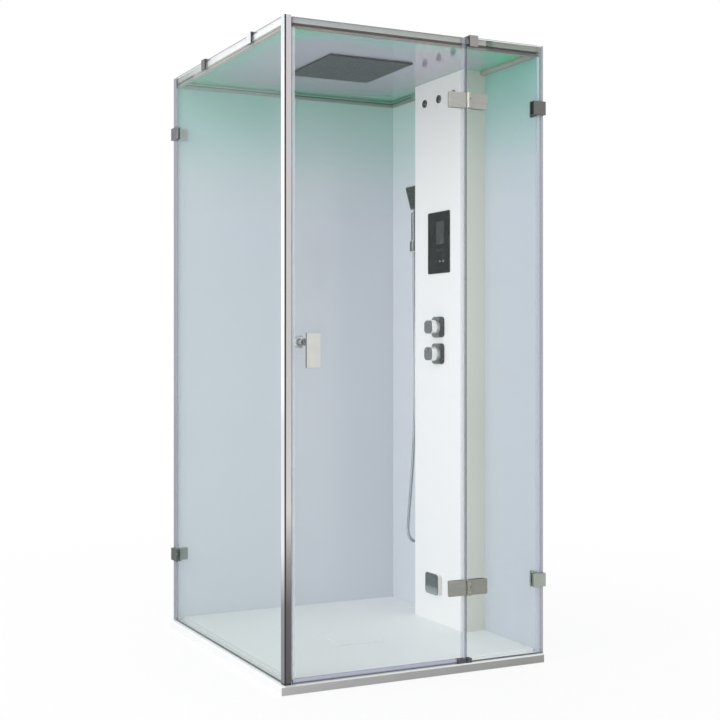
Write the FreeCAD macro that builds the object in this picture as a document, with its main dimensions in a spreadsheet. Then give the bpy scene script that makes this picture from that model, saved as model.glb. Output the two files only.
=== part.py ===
import FreeCAD, Part
import math
import os
import re
import Sketcher
from FreeCAD import Vector

# A corner steam shower cabin: a low square tray, two wall panels, two glass sides, a hinged
# glass door, a roof with a rain shower and a hollow service column on the right wall.
# Row frame: origin on the floor at the centre of the tray, +X right along the front,
# +Y towards the back wall, +Z up. Millimetres.

SIZES = {
    # tray
    "tray_width": 1000,
    "tray_depth": 1000,
    "ledge_height": 30,
    "deck_rise": 10,
    "deck_inset": 20,
    "deck_corner": 14,
    "deck_round": 3.3,
    "dish_margin": 26,
    "dish_fall": 7,
    "apron_thickness": 3,
    "rim_lip": 5,
    "underside_depth": 18,
    "underside_border": 42,
    "underside_rib": 14,
    "drain_x": -10,
    "drain_y": -45,
    "cover_size": 175,
    "cover_thickness": 4.5,
    "cover_gap": 3,
    "cover_proud": 2,
    "cover_round": 1.5,
    "cover_stud": 5,
    "stud_inset": 12,
    "sump_margin": 10,
    "seat_corner": 6,
    "recess_depth": 8,
    "waste_hole": 45,
    "waste_boss": 30,
    "waste_pipe": 25.2,
    "waste_wall": 4,
    "waste_flange": 55,
    "waste_rim": 3,
    "waste_floor": 3,
    "waste_lift": 1,
    "strainer_thickness": 1.5,
    "strainer_hub": 12,
    "strainer_bore": 5,
    "strainer_slot": 5,
    "strainer_border": 8,
    "seat_gap": 0.3,
    # glass, walls and post
    "glass": 8,
    "side_inset": 14,
    "front_inset": 6,
    "floor_seal": 3,
    "panel": 11,
    "post_width": 24,
    "post_depth": 26,
    "post_proud": 2,
    "post_wall": 2,
    "post_groove": 6,
    "post_foot": 6,
    "glass_play": 0.2,
    # roof
    "ceiling_height": 2099,
    "roof_rise": 21,
    "roof_step": 2,
    "roof_sheet": 5,
    "profile_thickness": 8,
    "cornice_depth": 22,
    "cornice_height": 15,
    "cornice_groove": 3,
    "groove_height": 4,
    "led_width": 5,
    "led_height": 2,
    "led_gap": 0.5,
    "rain_x": 5,
    "rain_y": -15,
    "rain_width": 335,
    "rain_drop": 6,
    "rain_corner": 6,
    "rain_bevel": 2,
    "rain_body": 296,
    "rain_body_height": 14,
    "rain_body_round": 4,
    "inlet_length": 30,
    "inlet_wall": 5,
    "roof_bay": 30,
    "pipe_radius": 6,
    "pipe_bend": 26,
    "pipe_play": 2,
    "pipe_rest": 0.3,
    # column
    "column_depth": 96,
    "column_width": 336,
    "column_wall": 4,
    "column_edge": 9,
    "screen_y": -10,
    "screen_z": 1478,
    "screen_width": 145.5,
    "screen_height": 232,
    "screen_proud": 4.5,
    "screen_corner": 4,
    "screen_bevel": 0.8,
    "screen_overlap": 7,
    "display_side": 12.5,
    "display_rise": 36.5,
    "display_width": 47.5,
    "display_height": 82,
    "display_corner": 2,
    "display_depth": 1.5,
    "module_depth": 26,
    "board_width": 60,
    "board_height": 90,
    "board_depth": 8,
    "jet_y": -8,
    "jet_pitch": 97.5,
    "jet_drop": 79,
    "jet_radius": 15.5,
    "jet_proud": 4,
    "jet_round": 1.5,
    "jet_cup": 12.8,
    "jet_floor_wall": 2,
    "ball_radius": 10,
    "spout_radius": 6,
    "spout_wall": 2,
    "spout_proud": 3,
    "spout_depth": 2,
    "valve_y": -6,
    "diverter_height": 1058.5,
    "valve_pitch": 100.5,
    "valve_margin": 30,
    "valve_stub": 45,
    "valve_radius": 18,
    "cartridge_radius": 16,
    "escutcheon": 78,
    "escutcheon_thickness": 8,
    "escutcheon_corner": 16,
    "escutcheon_round": 2.5,
    "knob_width": 60,
    "knob_height": 52,
    "knob_corner": 18,
    "knob_round": 3.5,
    "knob_reach": 47,
    "knob_block": 22,
    "knob_neck": 23,
    "stem_radius": 6,
    "stem_wall": 1.5,
    "run_fit": 0.05,
    "supply_pitch": 150,
    "supply_radius": 11,
    "supply_cap": 15,
    "thread_radius": 9.3,
    "thread_depth": 16,
    "union_radius": 13,
    "union_inset": 16,
    "cable_y": 95,
    "cable_z": 650,
    "cable_radius": 11,
    "outlet_y": 15,
    "outlet_z": 187,
    "outlet_width": 88,
    "outlet_height": 82,
    "outlet_corner": 14,
    "outlet_depth": 17,
    "outlet_face": 3,
    "outlet_margin": 1.5,
    "outlet_round": 1.2,
    "outlet_wall": 3,
    "outlet_slot": 48,
    "outlet_boss": 5.5,
    "outlet_tail": 8,
    "generator_width": 105,
    "generator_depth": 61,
    "generator_height": 470,
    "generator_side": 8,
    "generator_corner": 12,
    "generator_round": 6,
    "steam_neck": 12,
    "steam_rise": 60,
    # hand shower
    "hand_offset": 23,
    "hand_reach": 39,
    "holder_height": 1480,
    "holder_foot": 15,
    "holder_flange": 5,
    "holder_arm": 14,
    "holder_arm_height": 18,
    "holder_wall": 4.5,
    "holder_drop": 18,
    "holder_rise": 20,
    "grip_radius": 11,
    "grip_lift": 21,
    "grip_length": 112,
    "head_width": 75,
    "head_height": 92,
    "head_depth": 17,
    "head_tilt": 15.4,
    "head_lift": 15,
    "head_lean": 6,
    "head_round": 4,
    "face_margin": 5,
    "face_proud": 1.2,
    "nut_radius": 12,
    "nut_length": 44,
    "hose_radius": 6,
    "elbow_shift": 14,
    "elbow_reach": 22,
    "elbow_z": 650,
    "elbow_drop": 18,
    "elbow_head": 12,
    "elbow_flange": 20,
    "elbow_flange_depth": 6,
    "elbow_arm": 11,
    "elbow_radius": 12,
    # door
    "fixed_width": 312,
    "door_gap": 5,
    "strike_gap": 5,
    "strike_play": 1.2,
    "door_lift": 8,
    "door_head": 4,
    "seal_wall": 1.5,
    "seal_grip": 8,
    "seal_lip": 2,
    "shoe_height": 15,
    "shoe_door": 34,
    "shoe_fixed": 16.5,
    "shoe_wall": 5,
    "shoe_play": 1,
    # hinges
    "hinge_offset": 3,
    "hinge_reach": 9,
    "hinge_low": 281.5,
    "hinge_drop": 214,
    "leaf_height": 50,
    "leaf_thickness": 8,
    "leaf_door": 67,
    "leaf_fixed": 64.4,
    "leaf_round": 1,
    "core_play": 1,
    "knuckle_radius": 9,
    "knuckle_gap": 0.5,
    "pin_radius": 4,
    "notch_depth": 33,
    "notch_height": 28,
    "notch_overrun": 2,
    "backplate": 5,
    "backplate_inset": 6,
    # handle
    "handle_offset": 56,
    "handle_foot": 1018.5,
    "handle_width": 49,
    "handle_height": 110,
    "handle_thickness": 8,
    "handle_reach": 28,
    "handle_corner": 2,
    "handle_round": 1,
    "bolt_offset": 44.5,
    "bolt_rise": 80.5,
    "standoff_radius": 10,
    "bolt_radius": 5,
    "bolt_play": 1,
    "knob_radius": 20.5,
    "knob_length": 40,
    "washer_radius": 11,
    "washer_thickness": 2,
    "knob_waist": 8,
    # clamps
    "clamp_height": 46,
    "clamp_low": 284,
    "clamp_drop": 215.5,
    "clamp_reach": 45,
    "clamp_thickness": 8,
    "clamp_wrap": 5.5,
    "clamp_return": 30,
    "clamp_inner": 6,
    "clamp_leg": 44,
    "corner_clamp_reach": 50,
    "corner_clamp_wrap": 7,
    "roof_clamp_width": 33,
    "roof_clamp_thickness": 5,
    "roof_clamp_fall": 31,
    "roof_clamp_top": 6,
    "roof_clamp_bridge": 22,
    "roof_clamp_inset": 318,
    "roof_clamp_spacing": 409,
    "roof_clamp_shift": 25.5,
}

# Faces and lines that several pieces share, worked out from the sizes.
PLACES = {
    "left": "-tray_width / 2",
    "right": "tray_width / 2",
    "front": "-tray_depth / 2",
    "back": "tray_depth / 2",
    "deck_top": "ledge_height + deck_rise",
    "glass_top": "ceiling_height + roof_rise",
    "glass_left": "left + side_inset",
    "glass_left_in": "glass_left + glass",
    "glass_front": "front + front_inset",
    "glass_front_in": "glass_front + glass",
    "glass_foot": "ledge_height + floor_seal",
    "wall_right": "right - panel",
    "wall_back": "back - panel",
    "deck_left": "glass_left_in + deck_inset",
    "deck_front": "glass_front_in + deck_inset",
    "dish_top": "deck_top - dish_fall",
    "recess_floor": "dish_top - recess_depth",
    "waste_top": "recess_floor + waste_rim",
    "post_left": "glass_left - post_proud",
    "post_right": "post_left + post_width",
    "post_front": "glass_front - post_proud",
    "post_back": "post_front + post_depth",
    "roof_top": "glass_top - roof_step",
    "roof_left": "glass_left_in + profile_thickness",
    "roof_front": "glass_front_in + profile_thickness",
    "cornice_foot": "ceiling_height - cornice_height",
    "column_face": "wall_right - column_depth",
    "column_mid": "wall_right - column_depth / 2",
    "half_column": "column_width / 2",
    "display_y": "screen_y - display_side",
    "display_z": "screen_z + display_rise",
    "jet_height": "ceiling_height - jet_drop",
    "hand_x": "column_face + hand_offset",
    "hand_y": "half_column + hand_reach",
    "grip_foot": "holder_height + grip_lift",
    "elbow_x": "hand_x + elbow_shift",
    "elbow_y": "half_column + elbow_reach",
    "fixed_edge": "right - fixed_width",
    "door_edge": "fixed_edge - door_gap",
    "door_free": "post_right + strike_gap",
    "door_foot": "ledge_height + door_lift",
    "door_top": "glass_top - door_head",
    "hinge_high": "glass_top - hinge_drop",
    "clamp_high": "glass_top - clamp_drop",
    "handle_x": "door_free + handle_offset",
    "bolt_x": "door_free + bolt_offset",
    "bolt_z": "handle_foot + bolt_rise",
    "roof_clamp_back": "back - roof_clamp_inset",
    "roof_clamp_mid": "roof_clamp_back - roof_clamp_spacing",
    "roof_clamp_front": "fixed_edge + roof_clamp_shift",
    "hinge_x": "fixed_edge + hinge_offset",
    "hinge_y": "glass_front - hinge_reach",
    "leaf_front": "glass_front - leaf_thickness",
    "jet_ball_x": "column_face + column_wall",
    "jet_floor": "column_wall + ball_radius + seat_gap",
    "mixer_height": "diverter_height + valve_pitch",
    "valve_top": "mixer_height + valve_stub",
    "supply_height": "(mixer_height + diverter_height) / 2",
    "union_start": "column_mid + union_inset",
    "tank_y": "-half_column + column_wall + generator_side + generator_width / 2",
    "tank_foot": "deck_top + column_wall",
}

doc = FreeCAD.newDocument("SteamShowerCabin")
sheet = doc.addObject("Spreadsheet::Sheet", "Sizes")
for row, (alias, size) in enumerate(SIZES.items(), 1):
    sheet.set("A%d" % row, alias.replace("_", " "))
    sheet.set("B%d" % row, str(size))
    sheet.setAlias("B%d" % row, alias)
doc.recompute()

WORD = re.compile(r"[a-z][a-z_]*")
PLANES = {"x": "YZ_Plane", "y": "XZ_Plane", "z": "XY_Plane"}


def formula(text):
    """A formula in names of sizes and places, as an expression on the sheet."""
    def swap(match):
        word = match.group(0)
        if word in PLACES:
            return "(" + formula(PLACES[word]) + ")"
        return "Sizes." + word if word in SIZES else word
    return WORD.sub(swap, str(text))


def number(text):
    """The present value of a formula."""
    return float(sheet.evalExpression(formula(text)))


def bind(item, path, text):
    item.setExpression(path, formula(text))


# ---- sketch outlines: each returns a function that draws itself into a sketch ----

def hold(sketch, kind, value, *where):
    """Adds a constraint whose value follows a formula."""
    index = sketch.addConstraint(Sketcher.Constraint(kind, *where, number(value)))
    bind(sketch, "Constraints[%d]" % index, value)


def hold_point(sketch, geometry, end, spot):
    hold(sketch, "DistanceX", spot[0], -1, 1, geometry, end)
    hold(sketch, "DistanceY", spot[1], -1, 1, geometry, end)


def outline(*points):
    """A closed outline of straight lines."""
    def draw(sketch):
        spots = [Vector(number(u), number(v), 0) for u, v in points]
        first = sketch.GeometryCount
        count = len(points)
        for i in range(count):
            sketch.addGeometry(Part.LineSegment(spots[i], spots[(i + 1) % count]), False)
        for i in range(count):
            following = first + (i + 1) % count
            sketch.addConstraint(Sketcher.Constraint("Coincident", first + i, 2, following, 1))
        for i, point in enumerate(points):
            hold_point(sketch, first + i, 1, point)
    return draw


def rect(u_low, v_low, u_high, v_high):
    return outline((u_low, v_low), (u_high, v_low), (u_high, v_high), (u_low, v_high))


def disc(u, v, radius):
    def draw(sketch):
        centre = Vector(number(u), number(v), 0)
        circle = Part.Circle(centre, Vector(0, 0, 1), number(radius))
        index = sketch.addGeometry(circle, False)
        hold_point(sketch, index, 3, (u, v))
        hold(sketch, "Radius", radius, index)
    return draw


def rounded(u_low, v_low, u_high, v_high, radius):
    """A rectangle whose corners are quarter circles."""
    corners = [(u_high, "-", v_high, "-"), (u_low, "+", v_high, "-"),
               (u_low, "+", v_low, "+"), (u_high, "-", v_low, "+")]

    def draw(sketch):
        first = sketch.GeometryCount
        size = number(radius)
        ends = []
        for turn, (u, u_sign, v, v_sign) in enumerate(corners):
            centre_u = "(%s) %s (%s)" % (u, u_sign, radius)
            centre_v = "(%s) %s (%s)" % (v, v_sign, radius)
            centre = Vector(number(centre_u), number(centre_v), 0)
            circle = Part.Circle(centre, Vector(0, 0, 1), size)
            start = turn * math.pi / 2
            arc = Part.ArcOfCircle(circle, start, start + math.pi / 2)
            sketch.addGeometry(arc, False)
            ends.append((arc.StartPoint, arc.EndPoint))
            index = first + turn
            hold_point(sketch, index, 3, (centre_u, centre_v))
            hold(sketch, "Radius", radius, index)
            level, plumb = (1, 2) if turn % 2 == 0 else (2, 1)
            sketch.addConstraint(Sketcher.Constraint("Horizontal", index, 3, index, level))
            sketch.addConstraint(Sketcher.Constraint("Vertical", index, 3, index, plumb))
        for turn in range(4):
            following = (turn + 1) % 4
            line = Part.LineSegment(ends[turn][1], ends[following][0])
            index = sketch.addGeometry(line, False)
            pairs = ((first + turn, 2, index, 1), (index, 2, first + following, 1))
            for pair in pairs:
                sketch.addConstraint(Sketcher.Constraint("Coincident", *pair))
    return draw


def square(u, v, width, height, radius):
    """A rounded rectangle about its centre."""
    return rounded("%s - %s / 2" % (u, width), "%s - %s / 2" % (v, height),
                   "%s + %s / 2" % (u, width), "%s + %s / 2" % (v, height), radius)


# ---- features ----

def new_body(label, place=("0", "0", "0")):
    body = doc.addObject("PartDesign::Body", label)
    body.Label = label
    body.AllowCompound = True
    for axis, spot in zip("xyz", place):
        bind(body, "Placement.Base." + axis, spot)
    return body


def new_sketch(body, axis, level, outlines):
    """A sketch square to an axis of the body, at a level on that axis."""
    sketch = body.newObject("Sketcher::SketchObject", body.Label + "_outline")
    support = [plane for plane in body.Origin.OriginFeatures if plane.Role == PLANES[axis]]
    sketch.AttachmentSupport = (support[0], [""])
    sketch.MapMode = "FlatFace"
    # the normal of the XZ plane points to -Y
    sign = "-1 * " if axis == "y" else ""
    bind(sketch, "AttachmentOffset.Base.z", "%s(%s)" % (sign, level))
    for draw in outlines:
        draw(sketch)
    return sketch


def pad(body, axis, low, high, *outlines):
    """Material between two levels on an axis, inside the outlines."""
    start = high if axis == "y" else low
    feature = body.newObject("PartDesign::Pad", body.Label + "_pad")
    feature.Profile = new_sketch(body, axis, start, outlines)
    bind(feature, "Length", "(%s) - (%s)" % (high, low))
    body.Tip = feature
    return feature


def cut(body, axis, low, high, *outlines):
    """Takes material away between two levels on an axis."""
    start = low if axis == "y" else high
    doc.recompute()
    before = body.Shape.Volume
    feature = body.newObject("PartDesign::Pocket", body.Label + "_cut")
    feature.Profile = new_sketch(body, axis, start, outlines)
    bind(feature, "Length", "(%s) - (%s)" % (high, low))
    body.Tip = feature
    doc.recompute()
    if body.Shape.Volume > before - 1e-3:
        raise ValueError("a cut in %s takes nothing away" % body.Label)
    return feature


def turned(body, axis, *outlines):
    """Turns an outline of (radius, level) points about the body's own axis."""
    feature = body.newObject("PartDesign::Revolution", body.Label + "_turned")
    if axis == "z":
        feature.Profile = new_sketch(body, "y", "0", outlines)
        feature.ReferenceAxis = (feature.Profile[0], ["V_Axis"])
    else:
        feature.Profile = new_sketch(body, "z", "0", outlines)
        feature.ReferenceAxis = (feature.Profile[0], ["H_Axis" if axis == "x" else "V_Axis"])
    feature.Angle = 360
    body.Tip = feature
    return feature


def soften(body, kind, size, pick):
    """Fillets or chamfers the edges whose bounding boxes are picked."""
    doc.recompute()
    base = body.Tip
    names = []
    for index, edge in enumerate(base.Shape.Edges, 1):
        if pick(edge.BoundBox):
            names.append("Edge%d" % index)
    feature = body.newObject("PartDesign::" + kind, body.Label + "_" + kind.lower())
    feature.Base = (base, names)
    bind(feature, "Radius" if kind == "Fillet" else "Size", size)
    body.Tip = feature
    return feature


def in_plane(axis, level):
    """Picks edges that lie in one plane."""
    name = axis.upper()
    value = number(level)

    def pick(box):
        low = getattr(box, name + "Min")
        high = getattr(box, name + "Max")
        return abs(low - value) < 1e-3 and abs(high - value) < 1e-3
    return pick


def along(axis):
    """Picks edges that run along one axis."""
    others = [name for name in "XYZ" if name != axis.upper()]

    def pick(box):
        return all(getattr(box, name + "Length") < 1e-3 for name in others)
    return pick


def along_at(axis, where, level):
    """Picks edges along one axis that also lie at a level of another."""
    runs = along(axis)
    flat = in_plane(where, level)
    return lambda box: runs(box) and flat(box)


# ---- tray and waste ----

def make_tray():
    tray = new_body("shower_tray")
    inner_left = "left + apron_thickness"
    inner_front = "front + apron_thickness"
    lip_foot = "ledge_height - rim_lip"
    pad(tray, "z", "0", lip_foot, rect(inner_left, inner_front, "right", "back"))
    pad(tray, "z", lip_foot, "ledge_height", rect("left", "front", "right", "back"))
    pad(tray, "z", "ledge_height", "deck_top",
        rounded("deck_left", "deck_front", "wall_right", "wall_back", "deck_corner"))
    soften(tray, "Fillet", "deck_round", in_plane("z", "deck_top"))
    # shallow dish that falls to the drain
    dish = tray.newObject("PartDesign::SubtractiveLoft", "dish")
    rim = rounded("deck_left + dish_margin", "deck_front + dish_margin",
                  "column_face - dish_margin", "wall_back - dish_margin", "deck_corner * 2")
    dish.Profile = new_sketch(tray, "z", "deck_top", [rim])
    sump_width = "(cover_size + 2 * sump_margin)"
    sump = square("drain_x", "drain_y", sump_width, sump_width, "deck_corner")
    dish.Sections = [new_sketch(tray, "z", "dish_top", [sump])]
    tray.Tip = dish
    # seat of the drain cover, waste hole, and the recess for the waste under it
    seat_width = "(cover_size + 2 * cover_gap)"
    cut(tray, "z", "recess_floor", "deck_top",
        square("drain_x", "drain_y", seat_width, seat_width, "seat_corner"))
    cut(tray, "z", "0", "deck_top", disc("drain_x", "drain_y", "waste_hole"))
    cut(tray, "z", "0", "underside_depth", disc("drain_x", "drain_y", "waste_hole + waste_boss"))
    # ribbed underside
    cells = []
    count = 5
    pitch_x = "((tray_width - 2 * underside_border + underside_rib) / %d)" % count
    pitch_y = "((tray_depth - 2 * underside_border + underside_rib) / %d)" % count
    for i in range(count):
        for j in range(count):
            low_x = "left + underside_border + %d * %s" % (i, pitch_x)
            low_y = "front + underside_border + %d * %s" % (j, pitch_y)
            cells.append(rect(low_x, low_y, "%s + %s - underside_rib" % (low_x, pitch_x),
                              "%s + %s - underside_rib" % (low_y, pitch_y)))
    cut(tray, "z", "0", "underside_depth", *cells)

    apron = new_body("tray_apron")
    pad(apron, "z", "0", lip_foot,
        outline(("left", "front"), ("right", "front"), ("right", inner_front),
                (inner_left, inner_front), (inner_left, "back"), ("left", "back")))
    soften(apron, "Fillet", "apron_thickness * 0.8",
           lambda box: along("z")(box) and abs(box.XMin - number("left")) < 1
           and abs(box.YMin - number("front")) < 1)


def make_waste():
    waste = new_body("waste_body", ("drain_x", "drain_y", "0"))
    bowl = "waste_hole - seat_gap"
    floor_top = "underside_depth + waste_floor / 2"
    floor_foot = "underside_depth - waste_floor / 2"
    turned(waste, "z", outline(
        ("waste_flange", "recess_floor"), ("waste_flange", "waste_top"),
        (bowl + " - waste_wall", "waste_top"), (bowl + " - waste_wall", floor_top),
        ("waste_pipe", floor_top), ("waste_pipe", "waste_lift"),
        ("waste_pipe + waste_wall", "waste_lift"), ("waste_pipe + waste_wall", floor_foot),
        (bowl, floor_foot), (bowl, "recess_floor")))

    strainer = new_body("hair_strainer", ("drain_x", "drain_y", "waste_top"))
    pad(strainer, "z", "0", "strainer_thickness", disc("0", "0", "waste_hole"))
    cut(strainer, "z", "0", "strainer_thickness", disc("0", "0", "strainer_bore"))
    slot = cut(strainer, "z", "0", "strainer_thickness",
               rounded("strainer_hub", "-strainer_slot / 2", "waste_hole - strainer_border",
                       "strainer_slot / 2", "strainer_slot * 0.48"))
    slots = strainer.newObject("PartDesign::PolarPattern", "strainer_slots")
    slots.Originals = [slot]
    slots.Axis = (slot.Profile[0], ["N_Axis"])
    slots.Angle = 360
    slots.Occurrences = 10
    strainer.Tip = slots

    cover = new_body("drain_cover", ("drain_x", "drain_y", "recess_floor"))
    top = "(recess_depth + cover_proud)"
    under = "(%s - cover_thickness)" % top
    foot = "(cover_size / 2 - stud_inset)"
    pad(cover, "z", under, top, square("0", "0", "cover_size", "cover_size", "seat_corner - 1"))
    soften(cover, "Fillet", "cover_round", in_plane("z", top))
    studs = []
    for u in ("-1", "1"):
        for v in ("-1", "1"):
            studs.append(disc("%s * %s" % (u, foot), "%s * %s" % (v, foot), "cover_stud"))
    pad(cover, "z", "seat_gap", under, *studs)


# ---- walls, glass and corner post ----

def make_walls():
    back_panel = new_body("back_wall_panel")
    pad(back_panel, "z", "ledge_height", "ceiling_height",
        rect("glass_left_in", "wall_back", "right", "back"))

    side_panel = new_body("right_wall_panel")
    pad(side_panel, "z", "ledge_height", "ceiling_height",
        rect("wall_right", "glass_front_in", "right", "wall_back"))
    cut(side_panel, "x", "wall_right", "right",
        disc("-supply_pitch / 2", "supply_height", "union_radius + 1"),
        disc("supply_pitch / 2", "supply_height", "union_radius + 1"),
        disc("cable_y", "cable_z", "cable_radius"))


def hinge_notches(edge, side):
    """Notches in an upright edge of glass, one at each hinge; side is where the glass lies."""
    inner = "%s %s notch_depth" % (edge, side)
    beyond = "%s %s notch_overrun" % (edge, "+" if side == "-" else "-")
    low, high = (inner, beyond) if side == "-" else (beyond, inner)
    notches = []
    for level in ("hinge_low", "hinge_high"):
        notches.append(rect(low, "%s - notch_height / 2" % level,
                            high, "%s + notch_height / 2" % level))
    return notches


def make_glass():
    side = new_body("side_glass")
    pad(side, "x", "glass_left", "glass_left_in",
        rect("post_back - post_groove", "glass_foot", "back", "glass_top"))

    fixed = new_body("front_fixed_glass")
    pad(fixed, "y", "glass_front", "glass_front_in",
        rect("fixed_edge", "glass_foot", "right", "glass_top"))
    cut(fixed, "y", "glass_front", "glass_front_in", *hinge_notches("fixed_edge", "+"))

    door = new_body("door_glass")
    pad(door, "y", "glass_front", "glass_front_in",
        rect("door_free", "door_foot", "door_edge", "door_top"))
    cut(door, "y", "glass_front", "glass_front_in", *hinge_notches("door_edge", "-"),
        disc("bolt_x", "bolt_z", "bolt_radius + bolt_play"))

    strips = new_body("glass_floor_seals")
    pad(strips, "z", "ledge_height", "glass_foot",
        rect("glass_left", "post_back", "glass_left_in", "back"),
        rect("fixed_edge + shoe_fixed", "glass_front", "right", "glass_front_in"))


def make_post():
    post = new_body("corner_post")
    groove_left = "glass_left - glass_play"
    groove_right = "glass_left_in + glass_play"
    groove_floor = "post_back - post_groove"
    section = outline(
        ("post_left", "post_front"), ("post_right", "post_front"), ("post_right", "post_back"),
        (groove_right, "post_back"), (groove_right, groove_floor), (groove_left, groove_floor),
        (groove_left, "post_back"), ("post_left", "post_back"))
    chamber = rect("post_left + post_wall", "post_front + post_wall",
                   "post_right - post_wall", "%s - post_wall" % groove_floor)
    pad(post, "z", "ledge_height + post_foot", "glass_top", section, chamber)
    corners = [(number(u), number(v)) for u in ("post_left", "post_right")
               for v in ("post_front", "post_back")]
    soften(post, "Fillet", "1", lambda box: along("z")(box) and any(
        abs(box.XMin - u) < 1e-3 and abs(box.YMin - v) < 1e-3 for u, v in corners))

    foot = new_body("post_foot")
    pad(foot, "z", "ledge_height", "ledge_height + post_foot",
        rounded("post_left", "post_front", "post_right", "post_back", "2"))
    cut(foot, "z", "glass_foot", "ledge_height + post_foot",
        rect(groove_left, groove_floor, groove_right, "post_back"))


# ---- roof ----

def make_roof():
    roof = new_body("roof_panel")
    pad(roof, "z", "ceiling_height", "roof_top",
        rect("roof_left", "roof_front", "right", "back"))
    hollow_foot = "ceiling_height + roof_sheet"
    inner_left = "roof_left + roof_sheet"
    inner_right = "right - roof_sheet"
    rib_low = "rain_y - rain_width / 2 - roof_bay"
    rib_high = "rain_y + rain_width / 2 + roof_bay"
    bays = [("roof_front + roof_sheet", rib_low + " - roof_sheet"),
            (rib_low, rib_high), (rib_high + " + roof_sheet", "back - roof_sheet")]
    cut(roof, "z", hollow_foot, "roof_top",
        *[rect(inner_left, low, inner_right, high) for low, high in bays])
    cut(roof, "z", "ceiling_height", hollow_foot,
        square("rain_x", "rain_y", "(rain_body + 1)", "(rain_body + 1)", "rain_corner + 2"),
        pipe_slot())
    clear_of_post(roof, "ceiling_height", "roof_top")

    profiles = new_body("roof_edge_profiles")
    pad(profiles, "z", "ceiling_height", "roof_top",
        rect("glass_left_in", "post_back", "roof_left", "back"),
        rect("post_right", "glass_front_in", "right", "roof_front"))


def clear_of_post(body, low, high):
    """Cuts the corner out of a body where the post stands."""
    cut(body, "z", low, high, rect("left", "front", "post_right", "post_back"))


def pipe_slot():
    """The slot that the rain pipe needs where it bends towards the rain shower."""
    side = "(pipe_radius + pipe_play)"
    return rounded("column_mid - pipe_bend", "-1 * " + side, "column_mid + " + side, side,
                   side + " * 0.96")


def cornice_runs():
    """Wall face, direction into the room, axis of the run and its two ends, for each length."""
    inner_front = "glass_front_in + cornice_depth"
    inner_back = "wall_back - cornice_depth"
    return [
        ("wall_back", "-", "x", "glass_left_in", "wall_right"),
        ("glass_front_in", "+", "x", "glass_left_in", "wall_right"),
        ("glass_left_in", "+", "y", inner_front, inner_back),
        ("wall_right", "-", "y", inner_front, "-half_column"),
        ("wall_right", "-", "y", "half_column", inner_back),
    ]


def make_cornice():
    cornice = new_body("ceiling_cornice")
    strip = new_body("led_strip")
    # the light lies on a shelf at the top of the cornice, open to the room
    shelf = "ceiling_height - led_height - led_gap"
    shelf_back = "cornice_depth - led_width - led_gap"
    groove_foot = "cornice_foot + (cornice_height - groove_height) / 2"
    for face, sign, axis, low, high in cornice_runs():
        def depth(share):
            return "%s %s (%s)" % (face, sign, share)
        pad(cornice, axis, low, high, outline(
            (face, "ceiling_height"), (depth(shelf_back), "ceiling_height"),
            (depth(shelf_back), shelf), (depth("cornice_depth"), shelf),
            (depth("cornice_depth"), "cornice_foot + cornice_height / 2"),
            (depth("cornice_depth * 0.7"), "cornice_foot"), (face, "cornice_foot"),
            (face, groove_foot), (depth("cornice_groove"), groove_foot),
            (depth("cornice_groove"), groove_foot + " + groove_height"),
            (face, groove_foot + " + groove_height")))
        near, far = (depth("cornice_depth - led_width"), depth("cornice_depth"))
        if sign == "-":
            near, far = far, near
        pad(strip, axis, low, high, rect(near, shelf, far, shelf + " + led_height"))
    clear_of_post(cornice, "cornice_foot", "ceiling_height")


def make_rain_shower():
    plate = new_body("rain_shower_plate", ("rain_x", "rain_y", "ceiling_height"))
    pad(plate, "z", "-rain_drop", "0", square("0", "0", "rain_width", "rain_width", "rain_corner"))
    soften(plate, "Chamfer", "rain_bevel", in_plane("z", "-rain_drop"))

    body = new_body("rain_shower_body", ("rain_x", "rain_y", "ceiling_height"))
    pad(body, "z", "0", "rain_body_height",
        square("0", "0", "rain_body", "rain_body", "rain_corner + 2"))
    soften(body, "Fillet", "rain_body_round", in_plane("z", "rain_body_height"))
    half = "(pipe_radius + inlet_wall)"
    pad(body, "z", "roof_sheet", "roof_sheet + pipe_rest + 2 * pipe_radius + inlet_wall / 4",
        rect("rain_body / 2 - inlet_length", "-rain_y - " + half, "rain_body / 2",
             "-rain_y + " + half))


# ---- column ----

def make_column():
    housing = new_body("column_housing")
    foot = "deck_top"
    pad(housing, "z", foot, "ceiling_height",
        rect("column_face", "-half_column", "wall_right", "half_column"))
    soften(housing, "Fillet", "column_edge", along_at("z", "x", "column_face"))
    cut(housing, "z", foot + " + column_wall", "ceiling_height - column_wall",
        rect("column_face + column_wall", "-half_column + column_wall",
             "wall_right", "half_column - column_wall"))
    inner = "column_face + column_wall"
    round_holes = [disc(spot, "jet_height", "jet_cup + seat_gap") for spot in jet_spots()]
    for level in ("mixer_height", "diverter_height"):
        round_holes.append(disc("valve_y", level, "knob_neck + 1"))
    round_holes.append(disc("outlet_y", "outlet_z", "pipe_radius + outlet_boss + seat_gap"))
    cut(housing, "x", "column_face", inner, *round_holes)
    cut(housing, "x", "column_face", inner,
        square("screen_y", "screen_z", "(screen_width - 2 * screen_overlap)",
               "(screen_height - 2 * screen_overlap)", "screen_corner"))
    cut(housing, "y", "half_column - column_wall", "half_column",
        disc("elbow_x", "elbow_z", "elbow_arm - column_wall"),
        disc("hand_x", "holder_height", "holder_flange"))
    cut(housing, "z", "ceiling_height - column_wall", "ceiling_height", pipe_slot())


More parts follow.
